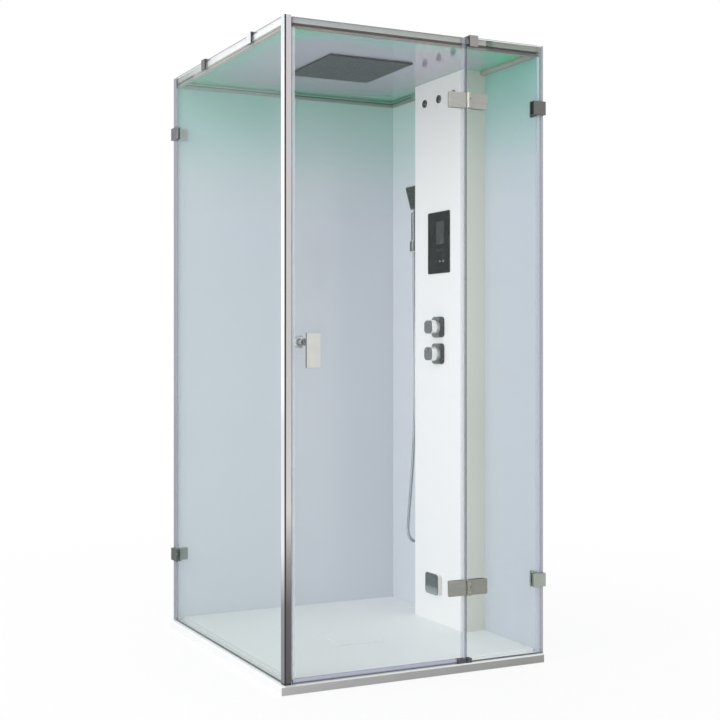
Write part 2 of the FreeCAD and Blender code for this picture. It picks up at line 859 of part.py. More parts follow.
def make_controls():
    screen = new_body("control_glass", ("column_face", "0", "0"))
    pad(screen, "x", "-screen_proud", "0",
        square("screen_y", "screen_z", "screen_width", "screen_height", "screen_corner"))
    soften(screen, "Chamfer", "screen_bevel", in_plane("x", "-screen_proud"))
    window = square("display_y", "display_z", "display_width", "display_height",
                    "display_corner")
    cut(screen, "x", "-screen_proud", "-screen_proud + display_depth", window)

    display = new_body("display_window", ("column_face - screen_proud", "0", "0"))
    pad(display, "x", "display_depth / 10", "display_depth", window)

    module = new_body("control_module", ("column_face", "0", "0"))
    inset = "(2 * screen_overlap + 2)"
    pad(module, "x", "0", "module_depth",
        square("screen_y", "screen_z", "(screen_width - %s)" % inset,
               "(screen_height - %s)" % inset, "screen_corner"))
    pad(module, "x", "module_depth", "module_depth + board_depth",
        square("screen_y", "screen_z", "board_width", "board_height", "screen_corner - 1"))


def jet_spots():
    return ["jet_y + %d * jet_pitch" % step for step in (-1, 0, 1)]


def make_jets():
    rings = new_body("jet_rings", ("column_face", "0", "jet_height"))
    spots = jet_spots()
    pad(rings, "x", "-jet_proud", "0", *[disc(y, "0", "jet_radius") for y in spots])
    soften(rings, "Fillet", "jet_round", in_plane("x", "-jet_proud"))
    pad(rings, "x", "0", "jet_floor + jet_floor_wall", *[disc(y, "0", "jet_cup") for y in spots])
    cut(rings, "x", "-jet_proud", "jet_floor",
        *[disc(y, "0", "ball_radius + seat_gap") for y in spots])
    for name, spot in zip(("front", "middle", "back"), spots):
        nozzle = new_body("jet_nozzle_" + name, ("jet_ball_x", spot, "jet_height"))
        ball = nozzle.newObject("PartDesign::AdditiveSphere", "ball")
        bind(ball, "Radius", "ball_radius")
        nozzle.Tip = ball
        reach = "(jet_ball_x - column_face + jet_proud + spout_proud)"
        pad(nozzle, "x", "-1 * %s" % reach, "0", disc("0", "0", "spout_radius"))
        cut(nozzle, "x", "-1 * %s" % reach, "-1 * spout_depth",
            disc("0", "0", "spout_radius - spout_wall"))


def make_valves():
    for name, level in (("mixer", "mixer_height"), ("diverter", "diverter_height")):
        plate = new_body(name + "_escutcheon", ("column_face", "valve_y", level))
        pad(plate, "x", "-escutcheon_thickness", "0",
            square("0", "0", "escutcheon", "escutcheon", "escutcheon_corner"))
        soften(plate, "Fillet", "escutcheon_round", in_plane("x", "-escutcheon_thickness"))
        cut(plate, "x", "-escutcheon_thickness", "0",
            disc("0", "0", "stem_radius + stem_wall + seat_gap"))

        knob = new_body(name + "_knob", ("column_face", "valve_y", level))
        face = "-knob_reach"
        waist = "-knob_reach + knob_block"
        heel = "-escutcheon_thickness - seat_gap"
        pad(knob, "x", face, waist, square("0", "0", "knob_width", "knob_height", "knob_corner"))
        soften(knob, "Fillet", "knob_round", in_plane("x", face))
        soften(knob, "Fillet", "knob_round", in_plane("x", waist))
        pad(knob, "x", waist, heel, disc("0", "0", "knob_neck"))
        cut(knob, "x", waist, heel, disc("0", "0", "stem_radius + run_fit"))

    valve = new_body("valve_manifold", ("column_mid", "valve_y", "0"))
    pad(valve, "z", "diverter_height - valve_margin", "valve_top", disc("0", "0", "valve_radius"))
    barrel_end = "column_face - column_mid - escutcheon_thickness / 4"
    stem_end = "column_face - column_mid - knob_reach + knob_block + seat_gap"
    levels = ("mixer_height", "diverter_height")
    barrels = [disc("0", level, "stem_radius + stem_wall") for level in levels]
    cartridges = [disc("0", level, "cartridge_radius") for level in levels]
    stems = [disc("0", level, "stem_radius") for level in levels]
    pad(valve, "x", barrel_end, "0", *barrels)
    pad(valve, "x", "column_face - column_mid + column_wall", "0", *cartridges)
    pad(valve, "x", stem_end, barrel_end, *stems)
    pad(valve, "y", "-supply_pitch / 2 - supply_cap - valve_y",
        "supply_pitch / 2 + supply_cap - valve_y", disc("0", "supply_height", "supply_radius"))
    spots = ["-supply_pitch / 2", "supply_pitch / 2"]
    pad(valve, "x", "0", "union_start - column_mid",
        *[disc(y + " - valve_y", "supply_height", "union_radius - 1") for y in spots])

    unions = new_body("supply_unions")
    start = "union_start"
    pad(unions, "x", start, "right", *[disc(y, "supply_height", "union_radius") for y in spots])
    cut(unions, "x", "right - thread_depth", "right",
        *[disc(y, "supply_height", "thread_radius") for y in spots])


def make_steam():
    generator = new_body("steam_generator", ("column_mid", "tank_y", "tank_foot"))
    pad(generator, "z", "0", "generator_height",
        square("0", "0", "generator_depth", "generator_width", "generator_corner"))
    soften(generator, "Fillet", "generator_round", in_plane("z", "generator_height"))
    pad(generator, "z", "generator_height", "generator_height + steam_neck",
        disc("0", "0", "pipe_radius + outlet_boss"))

    case = new_body("steam_outlet_body", ("column_face", "outlet_y", "outlet_z"))
    pad(case, "x", "-outlet_depth", "0",
        square("0", "0", "outlet_width", "outlet_height", "outlet_corner"))
    tail = "column_wall + outlet_tail"
    pad(case, "x", "0", tail, disc("0", "0", "pipe_radius + outlet_boss"))
    cut(case, "x", "-outlet_depth + outlet_wall", tail, disc("0", "0", "pipe_radius + run_fit"))
    # steam leaves through a slot in the lower side
    cut(case, "z", "-outlet_height / 2", "0",
        rounded("-outlet_depth + outlet_wall", "-outlet_slot / 2", "-outlet_wall",
                "outlet_slot / 2", "outlet_wall"))

    face = new_body("steam_outlet_cover", ("column_face - outlet_depth", "outlet_y", "outlet_z"))
    pad(face, "x", "-outlet_face", "0",
        square("0", "0", "(outlet_width - 2 * outlet_margin)",
               "(outlet_height - 2 * outlet_margin)", "outlet_corner - outlet_margin"))
    soften(face, "Fillet", "outlet_round", in_plane("x", "-outlet_face"))


# ---- hand shower ----

def make_hand_shower():
    side = "half_column"
    holder = new_body("handset_holder", ("hand_x", "0", "holder_height"))
    flange_end = side + " + holder_flange"
    pad(holder, "y", side, flange_end, disc("0", "0", "holder_foot"))
    pad(holder, "y", flange_end, "hand_y - nut_radius - holder_wall / 2",
        rounded("-holder_arm / 2", "-holder_arm_height / 2", "holder_arm / 2",
                "holder_arm_height / 2", "holder_arm * 0.3"))
    pad(holder, "z", "-holder_drop", "holder_rise", disc("0", "hand_y", "nut_radius + holder_wall"))
    cut(holder, "z", "-holder_drop", "holder_rise", disc("0", "hand_y", "nut_radius + seat_gap"))

    nut = new_body("hose_nut", ("hand_x", "hand_y", "grip_foot - nut_length"))
    turned(nut, "z", outline(("0", "0"), ("hose_radius + 2", "0"),
                             ("nut_radius - 1", "hose_radius"),
                             ("nut_radius", "hose_radius + nut_radius / 3"),
                             ("nut_radius", "nut_length"), ("0", "nut_length")))

    # handle and flat rectangular head, side profile in the plane x, z
    handset = new_body("handset_body", ("hand_x", "hand_y", "grip_foot"))
    pad(handset, "z", "0", "grip_length", disc("0", "0", "grip_radius"))
    bottom = "(grip_length + head_lift)"
    lean_x = "head_height * sin(head_tilt * 1deg)"
    lean_z = "head_height * cos(head_tilt * 1deg)"
    deep_x = "head_depth * cos(head_tilt * 1deg)"
    deep_z = "head_depth * sin(head_tilt * 1deg)"
    front_foot = ("head_lean", bottom)
    front_head = ("head_lean - " + lean_x, "%s + %s" % (bottom, lean_z))
    back_head = ("head_lean - %s + %s" % (lean_x, deep_x),
                 "%s + %s + %s" % (bottom, lean_z, deep_z))
    back_foot = ("head_lean + " + deep_x, "%s + %s" % (bottom, deep_z))
    pad(handset, "y", "-head_width / 2", "head_width / 2",
        outline(front_foot, front_head, back_head, back_foot))
    soften(handset, "Fillet", "head_round", lambda box: box.ZMin > number("grip_length")
           and (box.YLength < 0.1 or box.YLength > number("head_width") - 0.1))
    neck = "grip_length - 2 * head_lift"
    pad(handset, "y", "-grip_radius * 0.8", "grip_radius * 0.8",
        outline(("-grip_radius * 0.75", neck), ("grip_radius * 0.8", neck),
                ("head_lean + head_depth * 0.9", bottom + " + head_depth"),
                ("head_lean * 1.3", bottom + " + head_depth * 0.7")))

    # nozzle plate, let into the tilted face: points by their way along it and out of it
    def spot(rise, out):
        return ("-1 * (%s) * cos(head_tilt * 1deg) - (%s) * sin(head_tilt * 1deg)" % (out, rise),
                "(%s) * cos(head_tilt * 1deg) - (%s) * sin(head_tilt * 1deg)" % (rise, out))
    face = new_body("handset_face",
                    ("hand_x + head_lean", "hand_y", "grip_foot + " + bottom))
    low, high = "face_margin", "head_height - face_margin"
    pad(face, "y", "-head_width / 2 + face_margin", "head_width / 2 - face_margin",
        outline(spot(low, "face_proud"), spot(high, "face_proud"), spot(high, "0"),
                spot(low, "0")))

    elbow = new_body("hose_elbow", ("elbow_x", "0", "elbow_z"))
    flange_end = side + " + elbow_flange_depth"
    pad(elbow, "y", side, flange_end, disc("0", "0", "elbow_flange"))
    soften(elbow, "Fillet", "elbow_flange_depth / 3", in_plane("y", flange_end))
    pad(elbow, "y", flange_end, "elbow_y", disc("0", "0", "elbow_arm"))
    pad(elbow, "z", "-elbow_drop", "elbow_head", disc("0", "elbow_y", "elbow_radius"))
    soften(elbow, "Fillet", "elbow_radius / 3", in_plane("z", "elbow_head"))


# ---- door, hinges and handle ----

def make_door_trim():
    outer = "glass_front - seal_wall"
    inner = "glass_front_in + seal_wall"
    seal = new_body("door_bottom_seal")
    pad(seal, "x", "door_free + seal_lip", "door_edge - shoe_door - 2 * shoe_play",
        outline((outer, "door_foot + seal_grip"), (outer, "door_foot - seal_lip"),
                ("glass_front + seal_lip", "ledge_height + shoe_play"),
                ("glass_front_in - seal_lip", "ledge_height + shoe_play"),
                (inner, "door_foot - seal_lip"), (inner, "door_foot + seal_grip"),
                ("glass_front_in", "door_foot + seal_grip"), ("glass_front_in", "door_foot"),
                ("glass_front", "door_foot"), ("glass_front", "door_foot + seal_grip")))

    strike = new_body("door_strike_seal")
    grip = "door_free + seal_grip"
    tip = "post_right + strike_play"
    # the seal ends under the cornice, which the door closes against
    pad(strike, "z", "door_foot + seal_grip", "cornice_foot - strike_play",
        outline((grip, outer), (grip, "glass_front"), ("door_free", "glass_front"),
                ("door_free", "glass_front_in"), (grip, "glass_front_in"), (grip, inner),
                ("door_free - seal_lip", inner), (tip, "glass_front_in - seal_lip"),
                (tip, "glass_front + seal_lip"), ("door_free - seal_lip", outer)))

    shoe_front = "glass_front - shoe_wall"
    shoe_back = "glass_front_in + shoe_wall"
    shoe_top = "ledge_height + shoe_height"
    shoe_foot = "ledge_height + shoe_play"
    door_shoe = new_body("door_shoe")
    pad(door_shoe, "x", "door_edge - shoe_play - shoe_door", "door_edge - shoe_play",
        outline((shoe_front, shoe_foot), (shoe_back, shoe_foot),
                (shoe_back, shoe_top), ("glass_front_in", shoe_top), ("glass_front_in", "door_foot"),
                ("glass_front", "door_foot"), ("glass_front", shoe_top), (shoe_front, shoe_top)))
    fixed_shoe = new_body("fixed_shoe")
    pad(fixed_shoe, "x", "fixed_edge - seat_gap", "fixed_edge + shoe_fixed",
        outline((shoe_front, "ledge_height"), (shoe_back, "ledge_height"),
                (shoe_back, shoe_top), ("glass_front_in", shoe_top), ("glass_front_in", "glass_foot"),
                ("glass_front", "glass_foot"), ("glass_front", shoe_top), (shoe_front, shoe_top)))


def make_hinges():
    half = "leaf_height / 2"
    middle = "(leaf_height / 5)"
    levels = ("hinge_low", "hinge_high")
    core_top = "(notch_height / 2 - core_play)"
    door_end = "hinge_x - knuckle_radius - knuckle_gap"
    fixed_start = "hinge_x + knuckle_radius + knuckle_gap"
    web_back = "hinge_y + knuckle_radius - 1"

    def span(level, low, high):
        return ("%s + %s" % (level, low), "%s + %s" % (level, high))

    door_leaf = new_body("hinge_door_leaves")
    door_back = new_body("hinge_door_back_plates")
    fixed_leaf = new_body("hinge_fixed_leaves")
    fixed_back = new_body("hinge_fixed_back_plates")
    pins = new_body("hinge_pins")
    for level in levels:
        whole = span(level, "-leaf_height / 2", half)
        core = span(level, "-1 * " + core_top, core_top)
        pad(door_leaf, "z", *whole,
            rounded(door_end + " - leaf_door", "leaf_front", door_end, "glass_front",
                    "leaf_round"))
        pad(door_leaf, "z", *core,
            rect("door_edge - notch_depth + core_play", "glass_front - leaf_round",
                 "door_edge - core_play", "glass_front_in"))
        centre = span(level, "-1 * %s + knuckle_gap / 2" % middle, middle + " - knuckle_gap / 2")
        pad(door_leaf, "z", *centre,
            outline((door_end + " - 2", "leaf_front"), ("hinge_x", "leaf_front"),
                    ("hinge_x", web_back), (door_end + " - 2", web_back)))
        pad(door_leaf, "z", *centre, disc("hinge_x", "hinge_y", "knuckle_radius"))
        cut(door_leaf, "z", *centre, disc("hinge_x", "hinge_y", "pin_radius + run_fit"))
        pad(door_back, "z", *whole,
            rounded(door_end + " - leaf_door + backplate_inset", "glass_front_in", door_end,
                    "glass_front_in + backplate", "leaf_round"))

        pad(fixed_leaf, "z", *whole,
            rounded(fixed_start, "leaf_front", fixed_start + " + leaf_fixed", "glass_front",
                    "leaf_round"))
        pad(fixed_leaf, "z", *core,
            rect(fixed_start, "glass_front - leaf_round",
                 "fixed_edge + notch_depth - core_play", "glass_front_in"))
        for ends in (span(level, "-leaf_height / 2", "-1 * " + middle), span(level, middle, half)):
            pad(fixed_leaf, "z", *ends,
                outline(("hinge_x", "leaf_front"), (fixed_start + " + 2", "leaf_front"),
                        (fixed_start + " + 2", web_back), ("hinge_x", web_back)))
            pad(fixed_leaf, "z", *ends, disc("hinge_x", "hinge_y", "knuckle_radius"))
            cut(fixed_leaf, "z", *ends, disc("hinge_x", "hinge_y", "pin_radius + run_fit"))
        pad(fixed_back, "z", *whole,
            rounded(fixed_start, "glass_front_in",
                    fixed_start + " + leaf_fixed - backplate_inset",
                    "glass_front_in + backplate", "leaf_round"))
        pad(pins, "z", *whole, disc("hinge_x", "hinge_y", "pin_radius"))


def make_handle():
    plate = new_body("handle_plate")
    face = "glass_front - handle_reach - handle_thickness"
    back_of_plate = "glass_front - handle_reach"
    pad(plate, "y", face, back_of_plate,
        rounded("handle_x - handle_width / 2", "handle_foot", "handle_x + handle_width / 2",
                "handle_foot + handle_height", "handle_corner"))
    soften(plate, "Fillet", "handle_round", in_plane("y", face))
    pad(plate, "y", back_of_plate, "glass_front", disc("bolt_x", "bolt_z", "standoff_radius"))

    knob = new_body("handle_knob", ("bolt_x", "glass_front_in", "bolt_z"))
    turned(knob, "y", outline(
        ("0", "-glass"), ("bolt_radius", "-glass"), ("bolt_radius", "0"), ("washer_radius", "0"),
        ("washer_radius", "washer_thickness"), ("knob_waist", "washer_thickness * 1.5"),
        ("knob_waist", "knob_length * 0.4"), ("knob_radius * 0.9", "knob_length * 0.45"),
        ("knob_radius", "knob_length * 0.52"), ("knob_radius", "knob_length * 0.93"),
        ("knob_radius * 0.85", "knob_length"), ("0", "knob_length")))


# ---- clamps ----

def make_clamps():
    def stacked(body, *outlines):
        for level in ("clamp_low", "clamp_high"):
            pad(body, "z", level + " - clamp_height / 2", level + " + clamp_height / 2", *outlines)

    right_clamps = new_body("wall_clamps_right")
    face = "glass_front - clamp_thickness"
    stacked(right_clamps,
            outline(("right - clamp_reach", face), ("right + clamp_wrap", face),
                    ("right + clamp_wrap", "glass_front + clamp_return"),
                    ("right", "glass_front + clamp_return"), ("right", "glass_front"),
                    ("right - clamp_reach", "glass_front")),
            outline(("right - clamp_reach", "glass_front_in"), ("wall_right", "glass_front_in"),
                    ("wall_right", "glass_front_in + clamp_leg"),
                    ("wall_right - clamp_inner", "glass_front_in + clamp_leg"),
                    ("wall_right - clamp_inner", "glass_front_in + clamp_inner"),
                    ("right - clamp_reach", "glass_front_in + clamp_inner")))

    back_clamps = new_body("wall_clamps_back")
    side = "glass_left - clamp_thickness"
    wrap = "back + corner_clamp_wrap"
    start = "back - corner_clamp_reach"
    stacked(back_clamps,
            outline((side, start), ("glass_left", start),
                    ("glass_left", "back"), ("glass_left + clamp_return", "back"),
                    ("glass_left + clamp_return", wrap), (side, wrap)),
            outline(("glass_left_in", start), ("glass_left_in + clamp_inner", start),
                    ("glass_left_in + clamp_inner", "wall_back - clamp_inner"),
                    ("glass_left_in + clamp_leg", "wall_back - clamp_inner"),
                    ("glass_left_in + clamp_leg", "wall_back"), ("glass_left_in", "wall_back")))

    def saddle(edge, edge_in):
        """Section of a roof clamp: outer plate, and a bridge over the glass onto the roof."""
        outer = edge + " - roof_clamp_thickness"
        crown = "glass_top + roof_clamp_top"
        return outline((outer, "glass_top - roof_clamp_fall"), (edge, "glass_top - roof_clamp_fall"),
                       (edge, "glass_top"), (edge_in, "glass_top"), (edge_in, "roof_top"),
                       (edge_in + " + roof_clamp_bridge", "roof_top"),
                       (edge_in + " + roof_clamp_bridge", crown), (outer, crown))

    left_clamps = new_body("roof_clamps_left")
    for middle in ("roof_clamp_back", "roof_clamp_mid"):
        pad(left_clamps, "y", middle + " - roof_clamp_width / 2", middle + " + roof_clamp_width / 2",
            saddle("glass_left", "glass_left_in"))
    front_clamp = new_body("roof_clamp_front_edge")
    pad(front_clamp, "x", "roof_clamp_front - roof_clamp_width / 2",
        "roof_clamp_front + roof_clamp_width / 2", saddle("glass_front", "glass_front_in"))


# ---- pipes and hose: swept tubes, which neither a body nor a primitive gives ----

def swept(label, points, radius, bend, place=Vector(0, 0, 0)):
    """A round tube along straight runs joined by tangent arcs.

    bend is a radius for every corner, or None: then each arc takes 0.45 of its shorter run.
    """
    spots = [Vector(*point) for point in points]
    edges = []
    start = spots[0]
    radii = []
    for before, corner, after in zip(spots, spots[1:], spots[2:]):
        run_in = corner - before
        run_out = after - corner
        turn = run_in.getAngle(run_out)
        share = 0.45 * min(run_in.Length, run_out.Length)
        reach = share if bend is None else bend * math.tan(turn / 2)
        radii.append(reach / math.tan(turn / 2))
        entry = corner - run_in.normalize() * reach
        leave = corner + run_out.normalize() * reach
        bisector = (entry + leave) * 0.5 - corner
        centre = corner + bisector.normalize() * math.hypot(radii[-1], reach)
        middle = centre + (corner - centre).normalize() * radii[-1]
        edges.append(Part.LineSegment(start, entry).toShape())
        edges.append(Part.Arc(entry, middle, leave).toShape())
        start = leave
    edges.append(Part.LineSegment(start, spots[-1]).toShape())
    path = Part.Wire(edges)
    length = path.Length
    circle = Part.Circle(spots[0], spots[1] - spots[0], radius)
    section = Part.Wire([circle.toShape()])
    feature = doc.addObject("Part::Feature", label)
    feature.Label = label
    feature.Shape = path.makePipeShell([section], True, False)
    feature.Placement = FreeCAD.Placement(place, FreeCAD.Rotation())
    share = feature.Shape.Volume / (math.pi * radius ** 2 * length)
    print("%s: length %.1f, least radius %.1f, volume share %.4f"
          % (label, length, min(radii), share))
    return feature


def make_pipes():
    radius = number("pipe_radius")
    middle = number("column_mid")
    roof_level = number("ceiling_height + roof_sheet + pipe_radius + pipe_rest")
    inlet = number("rain_x + rain_body / 2")
    swept("rain_supply_pipe",
          [(middle, 0, number("valve_top")), (middle, 0, roof_level), (inlet, 0, roof_level)],
          radius, number("pipe_bend"))

    outlet_y = number("outlet_y")
    outlet_z = number("outlet_z")
    tank_y = number("tank_y")
    tank_top = number("tank_foot + generator_height + steam_neck")
    crest = number("tank_foot + generator_height + steam_neck + steam_rise")
    swept("steam_pipe",
          [(middle, tank_y, tank_top), (middle, tank_y, crest), (middle, outlet_y, crest),
           (middle, outlet_y, outlet_z), (number("column_face + column_wall"), outlet_y, outlet_z)],
          radius, number("pipe_bend"))


# Route of the hose from the axis of its nut at floor level, chosen by hand: straight down,
# out towards the back wall, a loop above the tray, and up into the elbow.
HOSE_ROUTE = [
    (0.0, 0.0, 1457.0), (0.0, 0.0, 1305.0), (0.5, -5.0, 1145.0),
    (1.1, -9.0, 985.0), (1.9, -4.0, 828.0), (2.9, 9.0, 675.0),
    (4.1, 28.0, 530.0), (5.4, 50.0, 409.0), (6.8, 58.0, 340.5),
    (8.4, 32.5, 315.0), (10.0, -3.5, 315.0), (11.4, -27.0, 340.5),
    (13.0, -26.0, 408.0), (14.0, -17.0, 526.0), (14.0, -17.0, 632.0),
]


def make_all():
    make_tray()
    make_waste()
    make_walls()
    make_glass()
    make_post()
    make_roof()
    make_cornice()
    make_rain_shower()
    make_column()
    make_controls()
    make_jets()
    make_valves()
    make_steam()
    make_hand_shower()
    make_door_trim()
    make_hinges()
    make_handle()
    make_clamps()
    make_pipes()
    nut_axis = Vector(number("hand_x"), number("hand_y"), 0)
    swept("shower_hose", HOSE_ROUTE, number("hose_radius"), None, nut_axis)


def write_parts():
    doc.recompute()
    faults = [item.Label for item in doc.Objects
              if "Invalid" in item.State or "Error" in item.State]
    pieces = [item for item in doc.Objects
              if item.TypeId in ("PartDesign::Body", "Part::Feature")]
    for piece in pieces:
        if piece.Shape.isNull() or not piece.Shape.isValid():
            faults.append(piece.Label)
    if faults:
        raise ValueError("not built: " + ", ".join(faults))
    os.makedirs("parts", exist_ok=True)
    for piece in pieces:
        piece.Shape.exportStep("parts/%s.step" % piece.Label)
    print("%d nodes, %d solids" % (len(pieces), sum(len(p.Shape.Solids) for p in pieces)))


make_all()
write_parts()
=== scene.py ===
"""Looks of the steam shower cabin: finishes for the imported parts, finer pieces, light and camera."""

import math

import bmesh
import bpy
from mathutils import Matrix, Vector


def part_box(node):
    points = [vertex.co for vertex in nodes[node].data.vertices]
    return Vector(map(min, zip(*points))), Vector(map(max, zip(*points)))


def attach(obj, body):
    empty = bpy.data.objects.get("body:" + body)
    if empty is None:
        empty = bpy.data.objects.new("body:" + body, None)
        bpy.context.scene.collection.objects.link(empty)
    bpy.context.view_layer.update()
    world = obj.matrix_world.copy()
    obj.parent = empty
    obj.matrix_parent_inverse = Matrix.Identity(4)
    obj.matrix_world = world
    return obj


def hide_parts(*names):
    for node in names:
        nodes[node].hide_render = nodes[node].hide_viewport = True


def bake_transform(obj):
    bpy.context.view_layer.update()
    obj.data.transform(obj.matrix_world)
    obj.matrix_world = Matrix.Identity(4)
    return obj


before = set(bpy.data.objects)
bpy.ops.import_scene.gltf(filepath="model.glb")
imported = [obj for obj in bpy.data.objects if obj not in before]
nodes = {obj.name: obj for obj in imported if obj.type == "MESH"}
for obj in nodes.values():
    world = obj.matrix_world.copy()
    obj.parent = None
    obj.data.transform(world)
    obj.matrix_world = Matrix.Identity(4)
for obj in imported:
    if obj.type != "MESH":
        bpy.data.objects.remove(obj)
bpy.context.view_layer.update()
MM = 0.001


# ---- helpers for meshes ----

def add_object(name, data):
    """An object that holds a mesh, a light or a camera, put in the scene."""
    made = bpy.data.objects.new(name, data)
    bpy.context.scene.collection.objects.link(made)
    return made


def add_mesh(name, mesh):
    """A bmesh as an object in the scene; the bmesh is used up."""
    bmesh.ops.recalc_face_normals(mesh, faces=mesh.faces)
    data = bpy.data.meshes.new(name)
    mesh.to_mesh(data)
    mesh.free()
    return add_object(name, data)


def ring(mesh, spot, across, up, radius, sides):
    """The points of a circle round a spot, in the plane of two directions."""
    made = []
    for side in range(sides):
        angle = 2 * math.pi * side / sides
        offset = across * math.cos(angle) + up * math.sin(angle)
        made.append(mesh.verts.new(spot + offset * radius))
    return made


def skin(mesh, rings, closed=True):
    """Faces between rings of as many points each and, if closed, one over each end."""
    for first, second in zip(rings, rings[1:]):
        for side in range(len(first)):
            after = (side + 1) % len(first)
            mesh.faces.new((first[side], first[after], second[after], second[side]))
    if closed:
        mesh.faces.new(list(reversed(rings[0])))
        mesh.faces.new(rings[-1])


# ---- camera and hose ----

def make_camera():
    """The photograph's camera: level, turned right of +Y, its axis left of the picture's middle."""
    data = bpy.data.cameras.new("camera")
    data.lens = 59.94
    data.sensor_width = 36.0
    data.shift_x = 0.157
    data.shift_y = -0.0185
    camera = add_object("camera", data)
    camera.location = (-2.099, -3.860, 1.085)
    camera.rotation_euler = (math.radians(90), 0, math.radians(-23.80))
    bpy.context.scene.camera = camera


# Route of the hose from the axis of its nut at floor level, in millimetres, as in the part's
# source: straight down, out towards the back wall, a loop above the tray, up into the elbow.
HOSE_ROUTE = [
    (0.0, 0.0, 1457.0), (0.0, 0.0, 1305.0), (0.5, -5.0, 1145.0),
    (1.1, -9.0, 985.0), (1.9, -4.0, 828.0), (2.9, 9.0, 675.0),
    (4.1, 28.0, 530.0), (5.4, 50.0, 409.0), (6.8, 58.0, 340.5),
    (8.4, 32.5, 315.0), (10.0, -3.5, 315.0), (11.4, -27.0, 340.5),
    (13.0, -26.0, 408.0), (14.0, -17.0, 526.0), (14.0, -17.0, 632.0),
]
HOSE_RADIUS = 6.0 * MM


def route_line(points):
    """The route's spline of order 3, read back as the points of a line."""
    curve = bpy.data.curves.new("hose_line", "CURVE")
    curve.dimensions = "3D"
    curve.resolution_u = 24
    spline = curve.splines.new("NURBS")
    spline.points.add(len(points) - 1)
    for target, point in zip(spline.points, points):
        target.co = (*point, 1.0)
    spline.order_u = 3
    spline.use_endpoint_u = True
    holder = bpy.data.objects.new("hose_line", curve)
    line = bpy.data.meshes.new_from_object(holder)
    spots = [vertex.co.copy() for vertex in line.vertices]
    bpy.data.objects.remove(holder)
    bpy.data.meshes.remove(line)
    return spots


def evenly(spots, step):
    """Points a set way apart along a line of points, with the way each of them has run."""
    ways = [0.0]
    for first, second in zip(spots, spots[1:]):
        ways.append(ways[-1] + (second - first).length)
    count = round(ways[-1] / step)
    made = []
    index = 0
    for number in range(count + 1):
        way = ways[-1] * number / count
        while index < len(spots) - 2 and ways[index + 1] < way:
            index += 1
        share = (way - ways[index]) / (ways[index + 1] - ways[index])
        made.append(spots[index].lerp(spots[index + 1], share))
    return made, ways[-1]


def tube(name, spots, radii, sides=14):
    """A closed tube through a line of points, with a radius at each of them."""
    mesh = bmesh.new()
    across = Vector((1, 0, 0))
    rings = []
    for index, spot in enumerate(spots):
        ahead = spots[min(index + 1, len(spots) - 1)] - spots[max(index - 1, 0)]
        along = ahead.normalized()
        across = (across - along * across.dot(along)).normalized()
        rings.append(ring(mesh, spot, across, along.cross(across), radii[index], sides))
    skin(mesh, rings)
    for face in mesh.faces:
        face.smooth = True
    return add_mesh(name, mesh)


def make_hose():
    """The metal hose, wound from strip: a ridge every few millimetres."""
    nut_low, nut_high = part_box("hose_nut")
    axis = Vector(((nut_low.x + nut_high.x) / 2, (nut_low.y + nut_high.y) / 2, 0))
    route = [axis + Vector(point) * MM for point in HOSE_ROUTE]
    ridge = 3.2 * MM
    depth = 0.7 * MM
    steps = 4
    spots, length = evenly(route_line(route), ridge / steps)
    grooves = [0.5 - 0.5 * math.cos(2 * math.pi * step / steps) for step in range(steps)]
    radii = [HOSE_RADIUS - depth * grooves[index % steps] ** 2 for index in range(len(spots))]
    hose = tube("metal_hose", spots, radii)
    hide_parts("shower_hose")
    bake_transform(hose)
    return hose


make_camera()
hose = make_hose()


# ---- material tools ----

